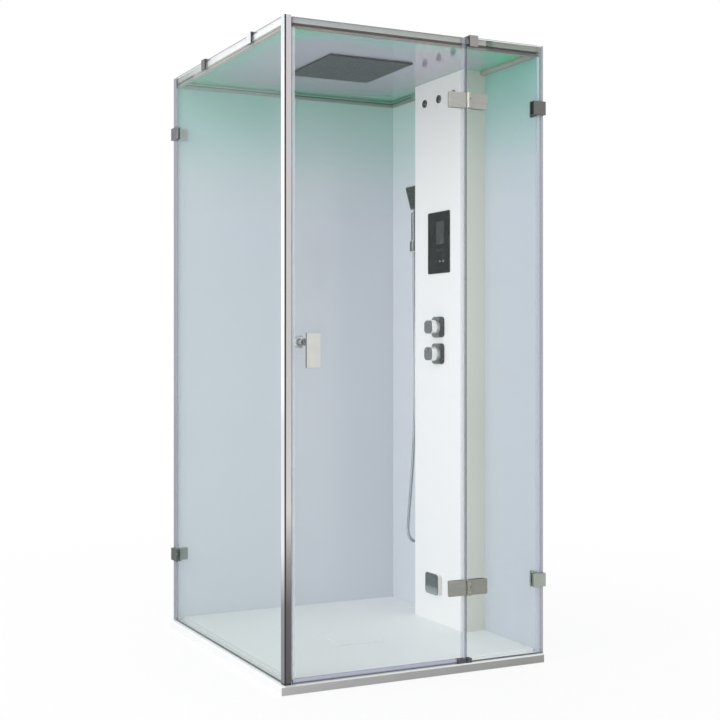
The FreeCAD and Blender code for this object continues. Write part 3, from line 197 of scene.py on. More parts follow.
class Finish:
    """A node material under construction: a Principled shader and helpers that feed it."""

    def __init__(self, name, color, roughness, metallic=0.0):
        self.material = bpy.data.materials.new(name)
        self.material.use_nodes = True
        self.tree = self.material.node_tree
        self.shader = self.tree.nodes["Principled BSDF"]
        self.set("Base Color", (*color, 1.0))
        self.set("Roughness", roughness)
        self.set("Metallic", metallic)
        self.place = self.node("ShaderNodeTexCoord").outputs["Object"]

    def node(self, kind, **settings):
        made = self.tree.nodes.new(kind)
        for key, value in settings.items():
            setattr(made, key, value)
        return made

    def set(self, socket, value):
        self.shader.inputs[socket].default_value = value
        return self

    def link(self, source, target):
        self.tree.links.new(source, target)

    def feed(self, socket, value):
        """Gives a socket an output, a number or a colour."""
        if isinstance(value, bpy.types.NodeSocket):
            self.link(value, socket)
        elif isinstance(value, (tuple, list)):
            socket.default_value = (*value, 1.0)
        else:
            socket.default_value = value

    def noise(self, scale, stretch=(1, 1, 1), detail=3.0):
        """Noise of a scale in cycles a metre, finer along the axes with a large stretch."""
        mapping = self.node("ShaderNodeMapping")
        mapping.inputs["Scale"].default_value = stretch
        self.link(self.place, mapping.inputs["Vector"])
        made = self.node("ShaderNodeTexNoise")
        made.inputs["Scale"].default_value = scale
        made.inputs["Detail"].default_value = detail
        self.link(mapping.outputs["Vector"], made.inputs["Vector"])
        return made.outputs["Fac"]

    def ranged(self, source, low, high, start=0.3, end=0.7):
        """Goes from low to high as the source goes from start to end."""
        made = self.node("ShaderNodeMapRange")
        made.inputs["From Min"].default_value = start
        made.inputs["From Max"].default_value = end
        made.inputs["To Min"].default_value = low
        made.inputs["To Max"].default_value = high
        self.link(source, made.inputs["Value"])
        return made.outputs["Result"]

    def mix(self, factor, first, second):
        """Mixes two colours; each is a colour or an output."""
        made = self.node("ShaderNodeMix", data_type="RGBA")
        for socket, value in ((0, factor), (6, first), (7, second)):
            self.feed(made.inputs[socket], value)
        return made.outputs[2]

    def between(self, factor, first, second):
        """Mixes two numbers; each is a number or an output."""
        made = self.node("ShaderNodeMix")
        for socket, value in ((0, factor), (2, first), (3, second)):
            self.feed(made.inputs[socket], value)
        return made.outputs[0]

    def color(self, source):
        self.link(source, self.shader.inputs["Base Color"])
        return self

    def vary(self, color, share, scale, stretch=(1, 1, 1)):
        """Colour that drifts a little either side of its own value."""
        darker = [c * (1 - share) for c in color]
        lighter = [min(1.0, c * (1 + share)) for c in color]
        spread = self.ranged(self.noise(scale, stretch), 0.0, 1.0)
        self.color(self.mix(spread, darker, lighter))
        return self

    def rough(self, low, high, scale, stretch=(1, 1, 1)):
        spread = self.ranged(self.noise(scale, stretch), low, high)
        self.link(spread, self.shader.inputs["Roughness"])
        return self

    def bump(self, scale, depth, stretch=(1, 1, 1), strength=0.5):
        """Fine relief; depth in metres."""
        made = self.node("ShaderNodeBump")
        made.inputs["Strength"].default_value = strength
        made.inputs["Distance"].default_value = depth
        self.link(self.noise(scale, stretch), made.inputs["Height"])
        self.link(made.outputs["Normal"], self.shader.inputs["Normal"])
        return self

    def coordinate(self, axis):
        split = self.node("ShaderNodeSeparateXYZ")
        self.link(self.place, split.inputs["Vector"])
        return split.outputs["XYZ".index(axis)]

    def rising(self, axis, start, end):
        """From 0 to 1 between two places on an axis, in metres."""
        return self.ranged(self.coordinate(axis), 0.0, 1.0, start, end)

    def falling(self, axis, start, end):
        """From 1 to 0 between two places on an axis, in metres."""
        return self.ranged(self.coordinate(axis), 1.0, 0.0, start, end)

    def normal(self, axis):
        """The face normal's part along an axis of the room, which changes when the piece turns."""
        geometry = self.node("ShaderNodeNewGeometry")
        split = self.node("ShaderNodeSeparateXYZ")
        self.link(geometry.outputs["True Normal"], split.inputs["Vector"])
        return split.outputs["XYZ".index(axis)]

    def against(self, axis, start=-0.9):
        """1 on the faces that look towards an axis's low end, such as the front ones for Y."""
        return self.ranged(self.normal(axis), 1.0, 0.0, start, -0.5)

    def square(self, axis, start, end):
        """1 on the faces square to an axis, whichever way they look, and 0 on the rest."""
        return self.ranged(self.maths("ABSOLUTE", self.normal(axis)), 0.0, 1.0, start, end)

    def maths(self, operation, *values):
        """The result of a Math node; each value is a number or an output."""
        made = self.node("ShaderNodeMath", operation=operation)
        for socket, value in zip(made.inputs, values):
            self.feed(socket, value)
        return made.outputs[0]

    def times(self, first, second):
        return self.maths("MULTIPLY", first, second)

    def scaled(self, color, factor):
        """A colour times a factor; both are outputs."""
        made = self.node("ShaderNodeVectorMath", operation="SCALE")
        self.link(color, made.inputs[0])
        self.link(factor, made.inputs["Scale"])
        return made.outputs[0]

    def glow(self, color, strength):
        """A little light of its own, for the flat studio look of pale surfaces."""
        self.feed(self.shader.inputs["Emission Color"], color)
        return self.set("Emission Strength", strength)

    def ramp(self, source, stops):
        """Colours at places between 0 and 1."""
        made = self.node("ShaderNodeValToRGB")
        ends = made.color_ramp.elements
        for index, (place, color) in enumerate(stops):
            if index < 2:
                element = ends[index]
                element.position = place
            else:
                element = ends.new(place)
            element.color = (*color, 1.0)
        self.link(source, made.inputs["Fac"])
        return made.outputs["Color"]


def rgb(red, green, blue):
    """A colour given as 0 to 255 on the screen, as the linear values that shaders use."""
    def linear(level):
        share = level / 255
        return share / 12.92 if share <= 0.04045 else ((share + 0.055) / 1.055) ** 2.4
    return tuple(linear(level) for level in (red, green, blue))


# ---- finishes ----

# heights of the lower and the upper row of clamps and hinges, between which their painted light and
# shade change
LOW_ROW = 0.3
HIGH_ROW = 1.9


def white_acrylic():
    """Tray acrylic with painted light and shade: painted paler towards the column and paler still
    outside the side pane, with a painted shade on its raised edge and a faint painted glow.
    """
    made = Finish("white_acrylic", rgb(230, 234, 232), 0.34)
    low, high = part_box("shower_tray")
    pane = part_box("side_glass")[0].x
    # painted light: paler towards the column
    along = made.rising("X", low.x + 0.1, high.x - 0.25)
    shade = made.mix(along, rgb(221, 227, 224), rgb(241, 245, 245))
    # painted shade: the raised edge is made darker
    edge = made.falling("X", low.x + 0.048, low.x + 0.055)
    shade = made.mix(edge, shade, rgb(200, 206, 204))
    # painted light: paler still outside the side pane
    outside = made.falling("X", pane - 0.003, pane)
    shade = made.mix(outside, shade, rgb(250, 251, 251))
    drift = made.ranged(made.noise(3.0), 0.0, 0.12)
    made.color(made.mix(drift, shade, rgb(200, 208, 204)))
    # painted light: a faint glow in the same colours
    made.glow(shade, 0.03)
    return made.rough(0.3, 0.4, 5.0).bump(5.0, 0.0002, strength=0.1).material


def column_white():
    """White gloss housing with painted shade: warmer and darker on the side that is turned to the
    door, and a painted glow that is strongest on the wide face.
    """
    made = Finish("column_white", rgb(246, 247, 247), 0.2)
    # painted shade: the faces turned to the door take the darker, warmer colours
    front = made.against("Y")
    # painted light: the wide face is a little lighter towards the top
    height = made.rising("Z", 1.0, 2.1)
    face = made.mix(height, rgb(238, 239, 239), rgb(243, 240, 240))
    drift = made.ranged(made.noise(2.0), 0.0, 1.0)
    side = made.mix(drift, rgb(214, 217, 206), rgb(221, 223, 213))
    made.color(made.mix(front, face, side))
    # painted light: a glow, strong on the wide face and faint on the side turned to the door
    made.glow(made.mix(front, rgb(232, 234, 234), rgb(70, 70, 66)), 0.11)
    made.rough(0.16, 0.26, 18.0).bump(35.0, 0.0002, strength=0.1)
    return made.set("Coat Weight", 0.2).set("Coat Roughness", 0.08).material


def brushed(name, color, roughness, stretch, share=0.06):
    """Brushed metal; the grain runs along the axis with the small stretch."""
    made = Finish(name, color, roughness, 1.0)
    made.vary(color, share, 40.0, stretch)
    made.rough(roughness * 0.75, roughness * 1.3, 60.0, stretch)
    return made.bump(300.0, 0.00004, stretch, 0.35).material


def fitting(name, upper, lower, roughness=0.32):
    """Brushed hinges with painted reflections: as the room that they mirror, lighter near the ceiling
    than at the floor; and painted shade leaves them a little lighter left of the pin than right of it."""
    made = Finish(name, upper, roughness, 0.75)
    brushing = (0.15, 1, 6)
    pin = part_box("hinge_pins")[0].x
    # painted reflection: lighter towards the ceiling
    height = made.rising("Z", LOW_ROW, HIGH_ROW)
    grain = made.ranged(made.noise(40.0, brushing), 0.9, 1.06)
    # painted shade: darker right of the pin
    across = made.ranged(made.coordinate("X"), 1.04, 0.93, pin - 7 * MM, pin + 3 * MM)
    made.color(made.scaled(made.mix(height, lower, upper), made.times(grain, across)))
    made.rough(roughness * 0.75, roughness * 1.3, 60.0, brushing)
    return made.bump(300.0, 0.00004, brushing, 0.3).material


def polished(name, color, roughness=0.06):
    """Polished metal with faint smears and waves."""
    made = Finish(name, color, roughness, 1.0)
    made.vary(color, 0.03, 12.0).rough(roughness * 0.7, roughness * 1.6, 30.0)
    return made.bump(18.0, 0.0001, strength=0.12).material


def plain(name, color, roughness, share=0.04, scale=60.0, relief=0.0001, gloss=0.5):
    """Moulded plastic, rubber or paint with a fine grain."""
    made = Finish(name, color, roughness)
    made.vary(color, share, scale).rough(roughness * 0.8, roughness * 1.25, scale)
    made.set("Specular IOR Level", gloss)
    return made.bump(scale * 8, relief, strength=0.4).material


def two_faced(name, axis, faces, others, metallic, roughness):
    """Faces square to an axis take one pair of colours and the rest another pair, as in the
    photograph. A pair is the colour near the floor and the one near the ceiling."""
    made = Finish(name, faces[0], roughness, metallic)
    # painted light and shade: the faces square to the axis and the other faces take lit and shaded
    # colours, each lighter or darker with height
    flat = made.square(axis, 0.75, 0.95)
    height = made.rising("Z", LOW_ROW, HIGH_ROW)
    drift = made.ranged(made.noise(30.0), 0.94, 1.03)
    shade = made.mix(flat, made.mix(height, *others), made.mix(height, *faces))
    made.color(made.scaled(shade, drift))
    return made.rough(roughness * 0.8, roughness * 1.3, 25.0).material


def valve_plate():
    """Chrome escutcheons, darker towards the door, where they mirror the dark room."""
    made = Finish("valve_plate", rgb(128, 134, 131), 0.3, 0.6)
    low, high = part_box("mixer_escutcheon")
    along = made.rising("Y", low.y, high.y)
    made.color(made.ramp(along, [(0.0, rgb(58, 62, 60)), (1.0, rgb(140, 146, 143)),
                                 (0.2, rgb(80, 85, 83)), (0.45, rgb(130, 136, 133))]))
    return made.rough(0.22, 0.36, 25.0).material


def steam_cover():
    """Dark mirror cover with a painted reflection that makes it lighter towards its foot, and a black
    edge.
    """
    made = Finish("steam_cover", rgb(110, 118, 116), 0.2, 0.5)
    low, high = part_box("steam_outlet_cover")
    # painted reflection: lighter towards the foot
    height = made.rising("Z", low.z, high.z)
    face = made.ramp(height, [(0.0, rgb(178, 188, 185)), (1.0, rgb(98, 108, 106)),
                              (0.3, rgb(150, 160, 157)), (0.42, rgb(104, 112, 110))])
    made.color(made.mix(made.square("X", 0.6, 0.8), rgb(30, 33, 32), face))
    return made.rough(0.15, 0.25, 20.0).material


def wall_panel(name, lift, axis, start, end, extra):
    """Gloss panel with painted light: the green of the light strip is painted in at the top and fades
    downwards, and a painted glow over the panel turns paler from start to end along the axis, as it
    does behind the door."""
    made = Finish(name, rgb(184, 191, 200), 0.2)
    # painted light: the strip's green glow is painted into the colour between these heights
    led_glow_foot, led_glow_head = 1.35, 2.09
    height = made.rising("Z", led_glow_foot, led_glow_head)
    graded = made.ramp(height, [(0.0, rgb(184, 191, 200)), (1.0, rgb(124, 184, 170)),
                                (0.3, rgb(186, 193, 203)), (0.55, rgb(179, 194, 199)),
                                (0.8, rgb(150, 188, 184))])
    # painted light: the colours of the panel's glow
    shown = made.ramp(height, [(0.0, rgb(175, 183, 191)), (1.0, rgb(107, 152, 145)),
                               (0.3, rgb(178, 184, 194)), (0.55, rgb(171, 178, 187)),
                               (0.8, rgb(138, 166, 167))])
    # painted light: the glow turns paler along the axis
    across = made.rising(axis, start, end)
    paler = made.mix(across, shown, extra)
    made.color(graded).glow(paler, lift)
    made.rough(0.16, 0.26, 14.0).bump(8.0, 0.0004, strength=0.05)
    return made.set("Coat Weight", 0.25).set("Coat Roughness", 0.1).material


def glass(name, node, axis, edge_color, bands):
    """Clear pane: faces square to the axis are nearly invisible and the cut edges are tinted.
    A band near the pane's far end takes a cover and a painted colour: pale bands are painted
    highlights and dark ones painted shade. It is given by how far before that end it starts and stops,
    and one that stops past the end takes the end face too."""
    along = "Y" if axis == "X" else "X"
    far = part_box(node)[1]["XYZ".index(along)]
    blur = 0.6 * MM
    made = Finish(name, rgb(214, 235, 232), 0.02)
    made.set("IOR", 1.5)
    face = made.square(axis, 0.4, 0.6)
    facing = made.node("ShaderNodeLayerWeight")
    facing.inputs["Blend"].default_value = 0.5
    grazing = made.maths("POWER", facing.outputs["Facing"], 5.0)
    pane = made.ranged(grazing, 0.03, 0.6, 0.0, 1.0)
    cover = made.between(face, 0.7, pane)
    color = made.mix(face, edge_color, rgb(222, 238, 238))
    # painted light: the bands lay pale painted highlights and dark painted shade near the far end
    for start, stop, painted_band, strength in bands:
        begun = made.rising(along, far - start, far - start + blur)
        inside = made.times(begun, made.falling(along, far - stop - blur, far - stop))
        color = made.mix(inside, color, painted_band)
        cover = made.between(inside, cover, strength)
    path = made.node("ShaderNodeLightPath")
    cover = made.between(path.outputs["Is Shadow Ray"], cover, 0.03)
    made.link(cover, made.shader.inputs["Alpha"])
    made.color(color)
    made.rough(0.012, 0.03, 6.0)
    return made.material


def post_chrome():
    """Polished post with painted reflections: white to the left, pale in front with a dark line, and
    dark at the foot.
    """
    made = Finish("post_chrome", (0.8, 0.8, 0.8), 0.1, 0.85)
    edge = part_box("corner_post")[0].x
    height = made.rising("Z", 0.0, 2.1)
    # painted reflections: the front face, dark at the foot and pale above
    front = made.ramp(height, [(0.0, rgb(96, 94, 98)), (1.0, rgb(226, 220, 224)),
                               (0.13, rgb(106, 104, 108)), (0.2, rgb(160, 158, 158)),
                               (0.27, rgb(222, 221, 218))])
    left = made.ramp(height, [(0.0, rgb(128, 126, 134)), (1.0, rgb(222, 228, 230)),
                              (0.13, rgb(138, 136, 142)), (0.22, rgb(240, 241, 241)),
                              (0.9, rgb(240, 241, 241))])
    # painted reflection: the dark line along the front face's left edge
    line = made.falling("X", edge + 5.5 * MM, edge + 6.2 * MM)
    front = made.mix(line, front, rgb(64, 62, 62))
    turned = made.against("Y", -0.7)
    made.color(made.mix(turned, left, front))
    # painted light: a faint glow on the left faces
    made.glow(made.mix(turned, left, rgb(0, 0, 0)), 0.02)
    return made.rough(0.08, 0.14, 22.0, (1, 1, 0.05)).material


def ceiling():
    """Gloss ceiling with painted light: green along the light strips and most of all in the corners,
    with a faint painted glow, and painted shade that makes it darker towards the back."""
    made = Finish("ceiling", rgb(160, 158, 170), 0.06)
    low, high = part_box("led_strip")
    reach = 0.26
    total = None
    for axis, start, end in (("X", low.x, high.x), ("Y", low.y, high.y)):
        for level, sign in ((start, 1.0), (end, -1.0)):
            away = made.maths("MULTIPLY_ADD", made.coordinate(axis), sign, -sign * level)
            near = made.ranged(away, 1.0, 0.0, 0.0, reach)
            near = made.times(near, near)
            total = near if total is None else made.maths("ADD", total, near)
    # painted light: green near the light strips
    graded = made.ramp(total, [(0.0, rgb(164, 158, 172)), (1.0, rgb(84, 186, 142)),
                               (0.3, rgb(152, 164, 168)), (0.7, rgb(116, 178, 156))])
    # painted shade: darker towards the back
    depth = made.ranged(made.coordinate("Y"), 1.22, 0.66, -0.45, 0.4)
    made.color(made.scaled(graded, depth)).rough(0.05, 0.1, 9.0)
    made.glow(graded, 0.05)
    return made.set("Coat Weight", 0.3).set("Coat Roughness", 0.03).material


def cornice():
    """Bronze cornice with painted light and shade: dark with a paler foot along the back and the
    front, pale at the sides.
    """
    made = Finish("cornice", rgb(112, 106, 102), 0.4)
    low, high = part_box("ceiling_cornice")
    back = made.rising("Y", high.y - 0.19, high.y - 0.17)
    height = made.rising("Z", low.z + 0.004, low.z + 0.009)
    drift = made.ranged(made.noise(50.0), 0.94, 1.04)
    # painted shade: dark above a paler, greenish foot
    dark = made.mix(height, rgb(122, 138, 130), rgb(84, 80, 76))
    front = made.falling("Y", low.y + 0.012, low.y + 0.014)
    # painted light: pale at the sides
    shade = made.mix(back, rgb(160, 158, 152), dark)
    upper = made.rising("Z", low.z + 0.006, low.z + 0.009)
    lower_front = made.mix(upper, rgb(146, 140, 136), rgb(84, 76, 72))
    shade = made.mix(front, shade, lower_front)
    return made.color(made.scaled(shade, drift)).rough(0.34, 0.46, 40.0).material


def light_strip():
    """Milky cover of the light strip, with a faint green light of its own."""
    cover = rgb(110, 190, 150)
    made = Finish("light_strip", cover, 0.5)
    made.vary(cover, 0.1, 120.0)
    return made.glow(rgb(90, 190, 140), 0.06).material


def roof_edge():
    """Roof profile with painted light and shade: white to the left near the post and darker towards
    the back;
    grey in front, and a painted glow makes it lighter there over the fixed pane. Its underside takes a
    painted shade."""
    made = Finish("roof_edge", rgb(206, 209, 203), 0.45)
    low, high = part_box("roof_edge_profiles")
    back = made.rising("Y", low.y, high.y)
    # painted light: white near the post and darker towards the back
    left = made.ramp(back, [(0.0, rgb(236, 236, 238)), (1.0, rgb(120, 128, 126)),
                            (0.55, rgb(226, 228, 228)), (0.8, rgb(166, 174, 173))])
    across = made.rising("X", low.x, high.x)
    front = made.mix(across, rgb(186, 190, 192), rgb(176, 182, 172))
    turned = made.against("X")
    below = made.against("Z")
    # painted shade: the underside is made dark
    shade = made.mix(below, made.mix(turned, front, left), rgb(84, 78, 74))
    grain = (0.1, 0.1, 4)
    drift = made.ranged(made.noise(30.0, grain), 0.0, 0.2)
    made.color(made.mix(drift, shade, rgb(190, 192, 188)))
    # painted light: a glow over the fixed pane
    over_pane = made.rising("X", 0.299, 0.302)
    lift = made.mix(over_pane, rgb(0, 0, 0), rgb(150, 152, 146))
    made.glow(made.mix(turned, lift, rgb(70, 70, 71)), 0.3)
    return made.rough(0.38, 0.52, 40.0, grain).material


def key_marks():
    """Marks of the touch keys: the lowest ones are the brightest."""
    made = Finish("key_marks", rgb(150, 152, 150), 0.4)
    height = made.falling("Z", 1.416, 1.422)
    side = made.falling("Y", -0.014, -0.006)
    drift = made.ranged(made.noise(90.0), 0.0, 1.0)
    bright = made.mix(drift, rgb(168, 170, 168), rgb(184, 186, 184))
    made.color(made.mix(made.times(height, side), rgb(92, 95, 93), bright))
    return made.rough(0.35, 0.45, 80.0).material


def bottom_seal():
    """Clear lip of the door: pale above, and painted shade makes it dark where it is folded at its
    foot.
    """
    made = Finish("bottom_seal", rgb(200, 202, 220), 0.35)
    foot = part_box("door_bottom_seal")[0].z
    # painted shade at the foot
    height = made.rising("Z", foot + 0.003, foot + 0.008)
    made.color(made.mix(height, rgb(118, 118, 134), rgb(206, 208, 226)))
    made.rough(0.28, 0.42, 40.0).bump(220.0, 0.0001, strength=0.2)
    return made.set("Alpha", 0.65).material


def roof_clamp():
    """Clamps on the left roof edge with painted light: the one at the back is painted dark, and the
    others get a painted highlight on the faces turned to the left; their other faces are painted dark.
    """
    made = Finish("roof_clamp", rgb(225, 225, 225), 0.32, 0.5)
    back = made.rising("Y", 0.0, 0.05)
    turned = made.against("X")
    # painted highlight on the faces turned to the left, painted dark on the clamp at the back
    lit = made.mix(back, rgb(232, 232, 234), rgb(92, 96, 92))
    drift = made.ranged(made.noise(60.0), 0.0, 0.2)
    # painted shade on the other faces
    shade = made.mix(turned, rgb(70, 75, 78), lit)
    made.color(made.mix(drift, shade, rgb(120, 122, 122)))
    return made.rough(0.26, 0.4, 50.0).material


def apron():
    """Apron profile: a painted reflection of the window makes it white on the left, and it looks grey
    in front.
    """
    made = Finish("apron", rgb(190, 191, 190), 0.4, 0.4)
    brushing = (0.06, 0.06, 6)
    front = made.against("Y")
    grain = made.ranged(made.noise(40.0, brushing), 0.0, 1.0)
    along = made.rising("X", -0.5, 0.5)
    face = made.mix(along, rgb(184, 185, 184), rgb(158, 157, 155))
    face = made.mix(made.times(grain, 0.25), face, rgb(192, 192, 190))
    # painted reflection: the faces not turned to the front are made white
    made.color(made.mix(front, rgb(243, 243, 244), face))
    return made.rough(0.34, 0.5, 60.0, brushing).material


def seal(name, color, alpha):
    """Clear soft seal."""
    made = Finish(name, color, 0.35)
    made.vary(color, 0.06, 50.0).rough(0.28, 0.42, 40.0).bump(220.0, 0.0001, strength=0.2)
    return made.set("Alpha", alpha).material


MATERIALS = {
    "acrylic": white_acrylic(),
    "column": column_white(),
    # The hinge colours near the ceiling and the floor, and the colour pairs of the two-faced pieces
    # below, are painted light and shade.
    "fitting": fitting("brushed_nickel", rgb(188, 188, 182), rgb(154, 154, 147)),
    "clamp_right": two_faced("clamp_right", "Y", (rgb(172, 180, 170), rgb(122, 122, 118)),
                             (rgb(150, 158, 150), rgb(70, 80, 74)), 0.75, 0.32),
    "clamp_back": two_faced("clamp_back", "X", (rgb(72, 76, 74), rgb(98, 96, 103)),
                            (rgb(98, 108, 104), rgb(168, 170, 170)), 0.75, 0.32),
    "clamp_front": two_faced("clamp_front", "Y", (rgb(166, 164, 161), rgb(166, 164, 161)),
                             (rgb(86, 86, 90), rgb(86, 86, 90)), 0.6, 0.34),
    "roof_clamp": roof_clamp(),
    "roof_edge": roof_edge(),
    "apron": apron(),
    "handle": two_faced("handle_satin", "Y", (rgb(220, 221, 216), rgb(220, 221, 216)),
                        (rgb(112, 116, 114), rgb(112, 116, 114)), 0.5, 0.4),
    "steel": brushed("steel", rgb(178, 179, 180), 0.3, (1, 1, 0.1)),
    "chrome": polished("chrome", rgb(208, 209, 212)),
    "knob": two_faced("valve_knob", "X", (rgb(126, 130, 129), rgb(126, 130, 129)),
                      (rgb(238, 240, 239), rgb(238, 240, 239)), 0.5, 0.28),
    "valve_plate": valve_plate(),
    "steam_cover": steam_cover(),
    "jets": polished("jet_chrome", rgb(120, 124, 124), 0.14),
    "handset": brushed("handset_chrome", rgb(118, 124, 124), 0.3, (1, 1, 0.2)),
    "holder": brushed("holder_chrome", rgb(104, 110, 107), 0.28, (1, 1, 0.2)),
    "hose": polished("hose_chrome", rgb(172, 176, 180), 0.16),
    "brass": brushed("brass", rgb(205, 176, 112), 0.3, (1, 1, 4)),
    "cornice": cornice(),
    "black": plain("black_plastic", rgb(38, 38, 41), 0.42),
    "handset_face": plain("handset_face", rgb(42, 45, 40), 0.45, gloss=0.25),
    "rubber": two_faced("grey_seal", "X", (rgb(172, 174, 176), rgb(172, 174, 176)),
                        (rgb(118, 122, 122), rgb(118, 122, 122)), 0.0, 0.5),
    "shoe": plain("shoe_grey", rgb(78, 80, 88), 0.4),
    "white_plastic": plain("white_plastic", rgb(225, 226, 226), 0.4),
    "shower_plate": plain("shower_plate", rgb(54, 53, 54), 0.4, 0.06, 90.0, gloss=0.25),
    "black_glass": plain("black_glass", rgb(18, 17, 17), 0.24, 0.05, 20.0, 0.00002, 0.03),
    "display": plain("display", rgb(64, 63, 62), 0.26, 0.05, 30.0, 0.00002, 0.05),
    # the second number of each wall is the strength of its painted glow, and the last colour the
    # painted light that makes it paler along its axis
    "wall_back": wall_panel("wall_back", 0.15, "X", -0.1, 0.05, rgb(220, 220, 226)),
    "wall_right": wall_panel("wall_right", 0.2, "Y", 0.16, 0.2, rgb(237, 237, 241)),
    "ceiling": ceiling(),
    "strip": light_strip(),
    "post": post_chrome(),
    # the bands of the panes are painted light: pale highlights and dark lines of shade near their far
    # ends
    "pane_front": glass("pane_front", "front_fixed_glass", "Y", rgb(112, 116, 136), [
        (26 * MM, 6 * MM, rgb(190, 197, 210), 0.25),
        (5 * MM, -20 * MM, rgb(126, 122, 140), 0.5)]),
    "pane_door": glass("pane_door", "door_glass", "Y", rgb(106, 114, 130), [
        (15 * MM, 2 * MM, rgb(188, 194, 206), 0.35)]),
    "pane_side": glass("pane_side", "side_glass", "X", rgb(118, 120, 132), [
        (30 * MM, -20 * MM, rgb(136, 138, 152), 0.75)]),
    "nozzle": plain("nozzle_rubber", rgb(92, 97, 95), 0.5, 0.05, 200.0),
    "mark": key_marks(),
    "frame": plain("display_frame", rgb(84, 87, 85), 0.4, 0.05, 80.0),
    "joint": plain("silicone_joint", rgb(214, 220, 230), 0.4),
    "clear_seal": seal("clear_seal", rgb(228, 234, 238), 0.35),
    "bottom_seal": bottom_seal(),
}

FINISHES = {
    "acrylic": ["shower_tray", "drain_cover"],
    "column": ["column_housing", "steam_outlet_body"],
    "fitting": ["hinge_door_leaves", "hinge_door_back_plates", "hinge_fixed_leaves",
                "hinge_fixed_back_plates"],
    "clamp_right": ["wall_clamps_right"],
    "clamp_back": ["wall_clamps_back"],
    "clamp_front": ["roof_clamp_front_edge"],
    "roof_clamp": ["roof_clamps_left"],
    "roof_edge": ["roof_edge_profiles"],
    "apron": ["tray_apron"],
    "handle": ["handle_plate"],
    "steel": ["hair_strainer", "rain_shower_body", "rain_supply_pipe", "steam_generator",
              "steam_pipe", "hinge_pins"],
    "chrome": ["handle_knob", "hose_nut", "hose_elbow"],
    "knob": ["mixer_knob", "diverter_knob"],
    "valve_plate": ["mixer_escutcheon", "diverter_escutcheon"],
    "steam_cover": ["steam_outlet_cover"],
    "jets": ["jet_rings", "jet_nozzle_front", "jet_nozzle_middle", "jet_nozzle_back"],
    "handset": ["handset_body"],
    "holder": ["handset_holder"],
    "brass": ["valve_manifold", "supply_unions"],
    "cornice": ["ceiling_cornice"],
    "black": ["post_foot", "control_module"],
    "handset_face": ["handset_face"],
    "rubber": ["glass_floor_seals"],
    "shoe": ["door_shoe", "fixed_shoe"],
    "white_plastic": ["waste_body"],
    "shower_plate": ["rain_shower_plate"],
    "black_glass": ["control_glass"],
    "display": ["display_window"],
    "wall_back": ["back_wall_panel"],
    "wall_right": ["right_wall_panel"],
    "ceiling": ["roof_panel"],
    "strip": ["led_strip"],
    "post": ["corner_post"],
    "pane_front": ["front_fixed_glass"],
    "pane_door": ["door_glass"],
    "pane_side": ["side_glass"],
    "clear_seal": ["door_strike_seal"],
    "bottom_seal": ["door_bottom_seal"],
}
for finish_name, members in FINISHES.items():
    for member in members:
        nodes[member].data.materials.clear()
        nodes[member].data.materials.append(MATERIALS[finish_name])
hose.data.materials.append(MATERIALS["hose"])


# ---- finer pieces ----

def piece(name, mesh, body, finish):
    """A bmesh as a finished object that rides on a body."""
    made = add_mesh(name, mesh)
    made.data.materials.append(MATERIALS[finish])
    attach(made, body)


def stud(mesh, spot, along, rings, sides=12):
    """A turned piece at a spot: rings of (way along the axis, radius), closed at both ends."""
    along = along.normalized()
    across = along.orthogonal().normalized()
    up = along.cross(across)
    skin(mesh, [ring(mesh, spot + along * way, across, up, radius, sides) for way, radius in rings])


def make_rain_nozzles():
    """Soft nozzles in rows under the rain shower's plate."""
    low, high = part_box("rain_shower_plate")
    mesh = bmesh.new()
    count = 19
    border = 16 * MM
    sunk = 0.3 * MM
    nozzle = [(0, 3.0 * MM), (1.0 * MM, 2.7 * MM), (1.8 * MM, 1.6 * MM)]
    for row in range(count):
        for place in range(count):
            x = low.x + border + (high.x - low.x - 2 * border) * row / (count - 1)
            y = low.y + border + (high.y - low.y - 2 * border) * place / (count - 1)
            stud(mesh, Vector((x, y, low.z + sunk)), Vector((0, 0, -1)), nozzle, 6)
    piece("rain_nozzles", mesh, "cabin", "nozzle")


def make_handset_nozzles():
    """Nozzles over the hand shower's tilted face."""
    low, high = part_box("handset_face")
    tilt = math.radians(15.4)
    up = Vector((-math.sin(tilt), 0, math.cos(tilt)))
    out = Vector((-math.cos(tilt), 0, -math.sin(tilt)))
    start = Vector((high.x, low.y, low.z)) + out * (0.9 * MM)
    mesh = bmesh.new()
    length = (high.z - low.z) / math.cos(tilt) - 2.4 * MM
    rows, columns = 8, 6
    nozzle = [(0, 1.9 * MM), (0.8 * MM, 1.6 * MM), (1.2 * MM, 0.8 * MM)]
    for row in range(rows):
        for column in range(columns):
            rise = length * (row + 0.7) / (rows + 0.4)
            side = (high.y - low.y) * (column + 0.5) / columns
            stud(mesh, start + up * rise + Vector((0, side, 0)), out, nozzle, 8)
    piece("handset_nozzles", mesh, "handset", "nozzle")


def make_key_marks():
    """Plain rings that mark the touch keys under the display."""
    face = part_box("control_glass")[0].x + 0.05 * MM
    outer, inner, proud = 4.2 * MM, 2.6 * MM, 0.25 * MM
    section = [(0.0, outer), (proud, outer * 0.97), (proud, inner), (0.0, inner)]
    # places of the keys along the glass and above the floor, in millimetres
    keys = [(-8, 1449), (-33, 1450), (-44, 1429), (7, 1407), (-21, 1407), (-44, 1407)]
    mesh = bmesh.new()
    for y, z in keys:
        skin(mesh, [ring(mesh, Vector((face - depth, y * MM, z * MM)), Vector((0, 1, 0)),
                         Vector((0, 0, 1)), radius, 20) for depth, radius in section], False)
    piece("key_marks", mesh, "cabin", "mark")


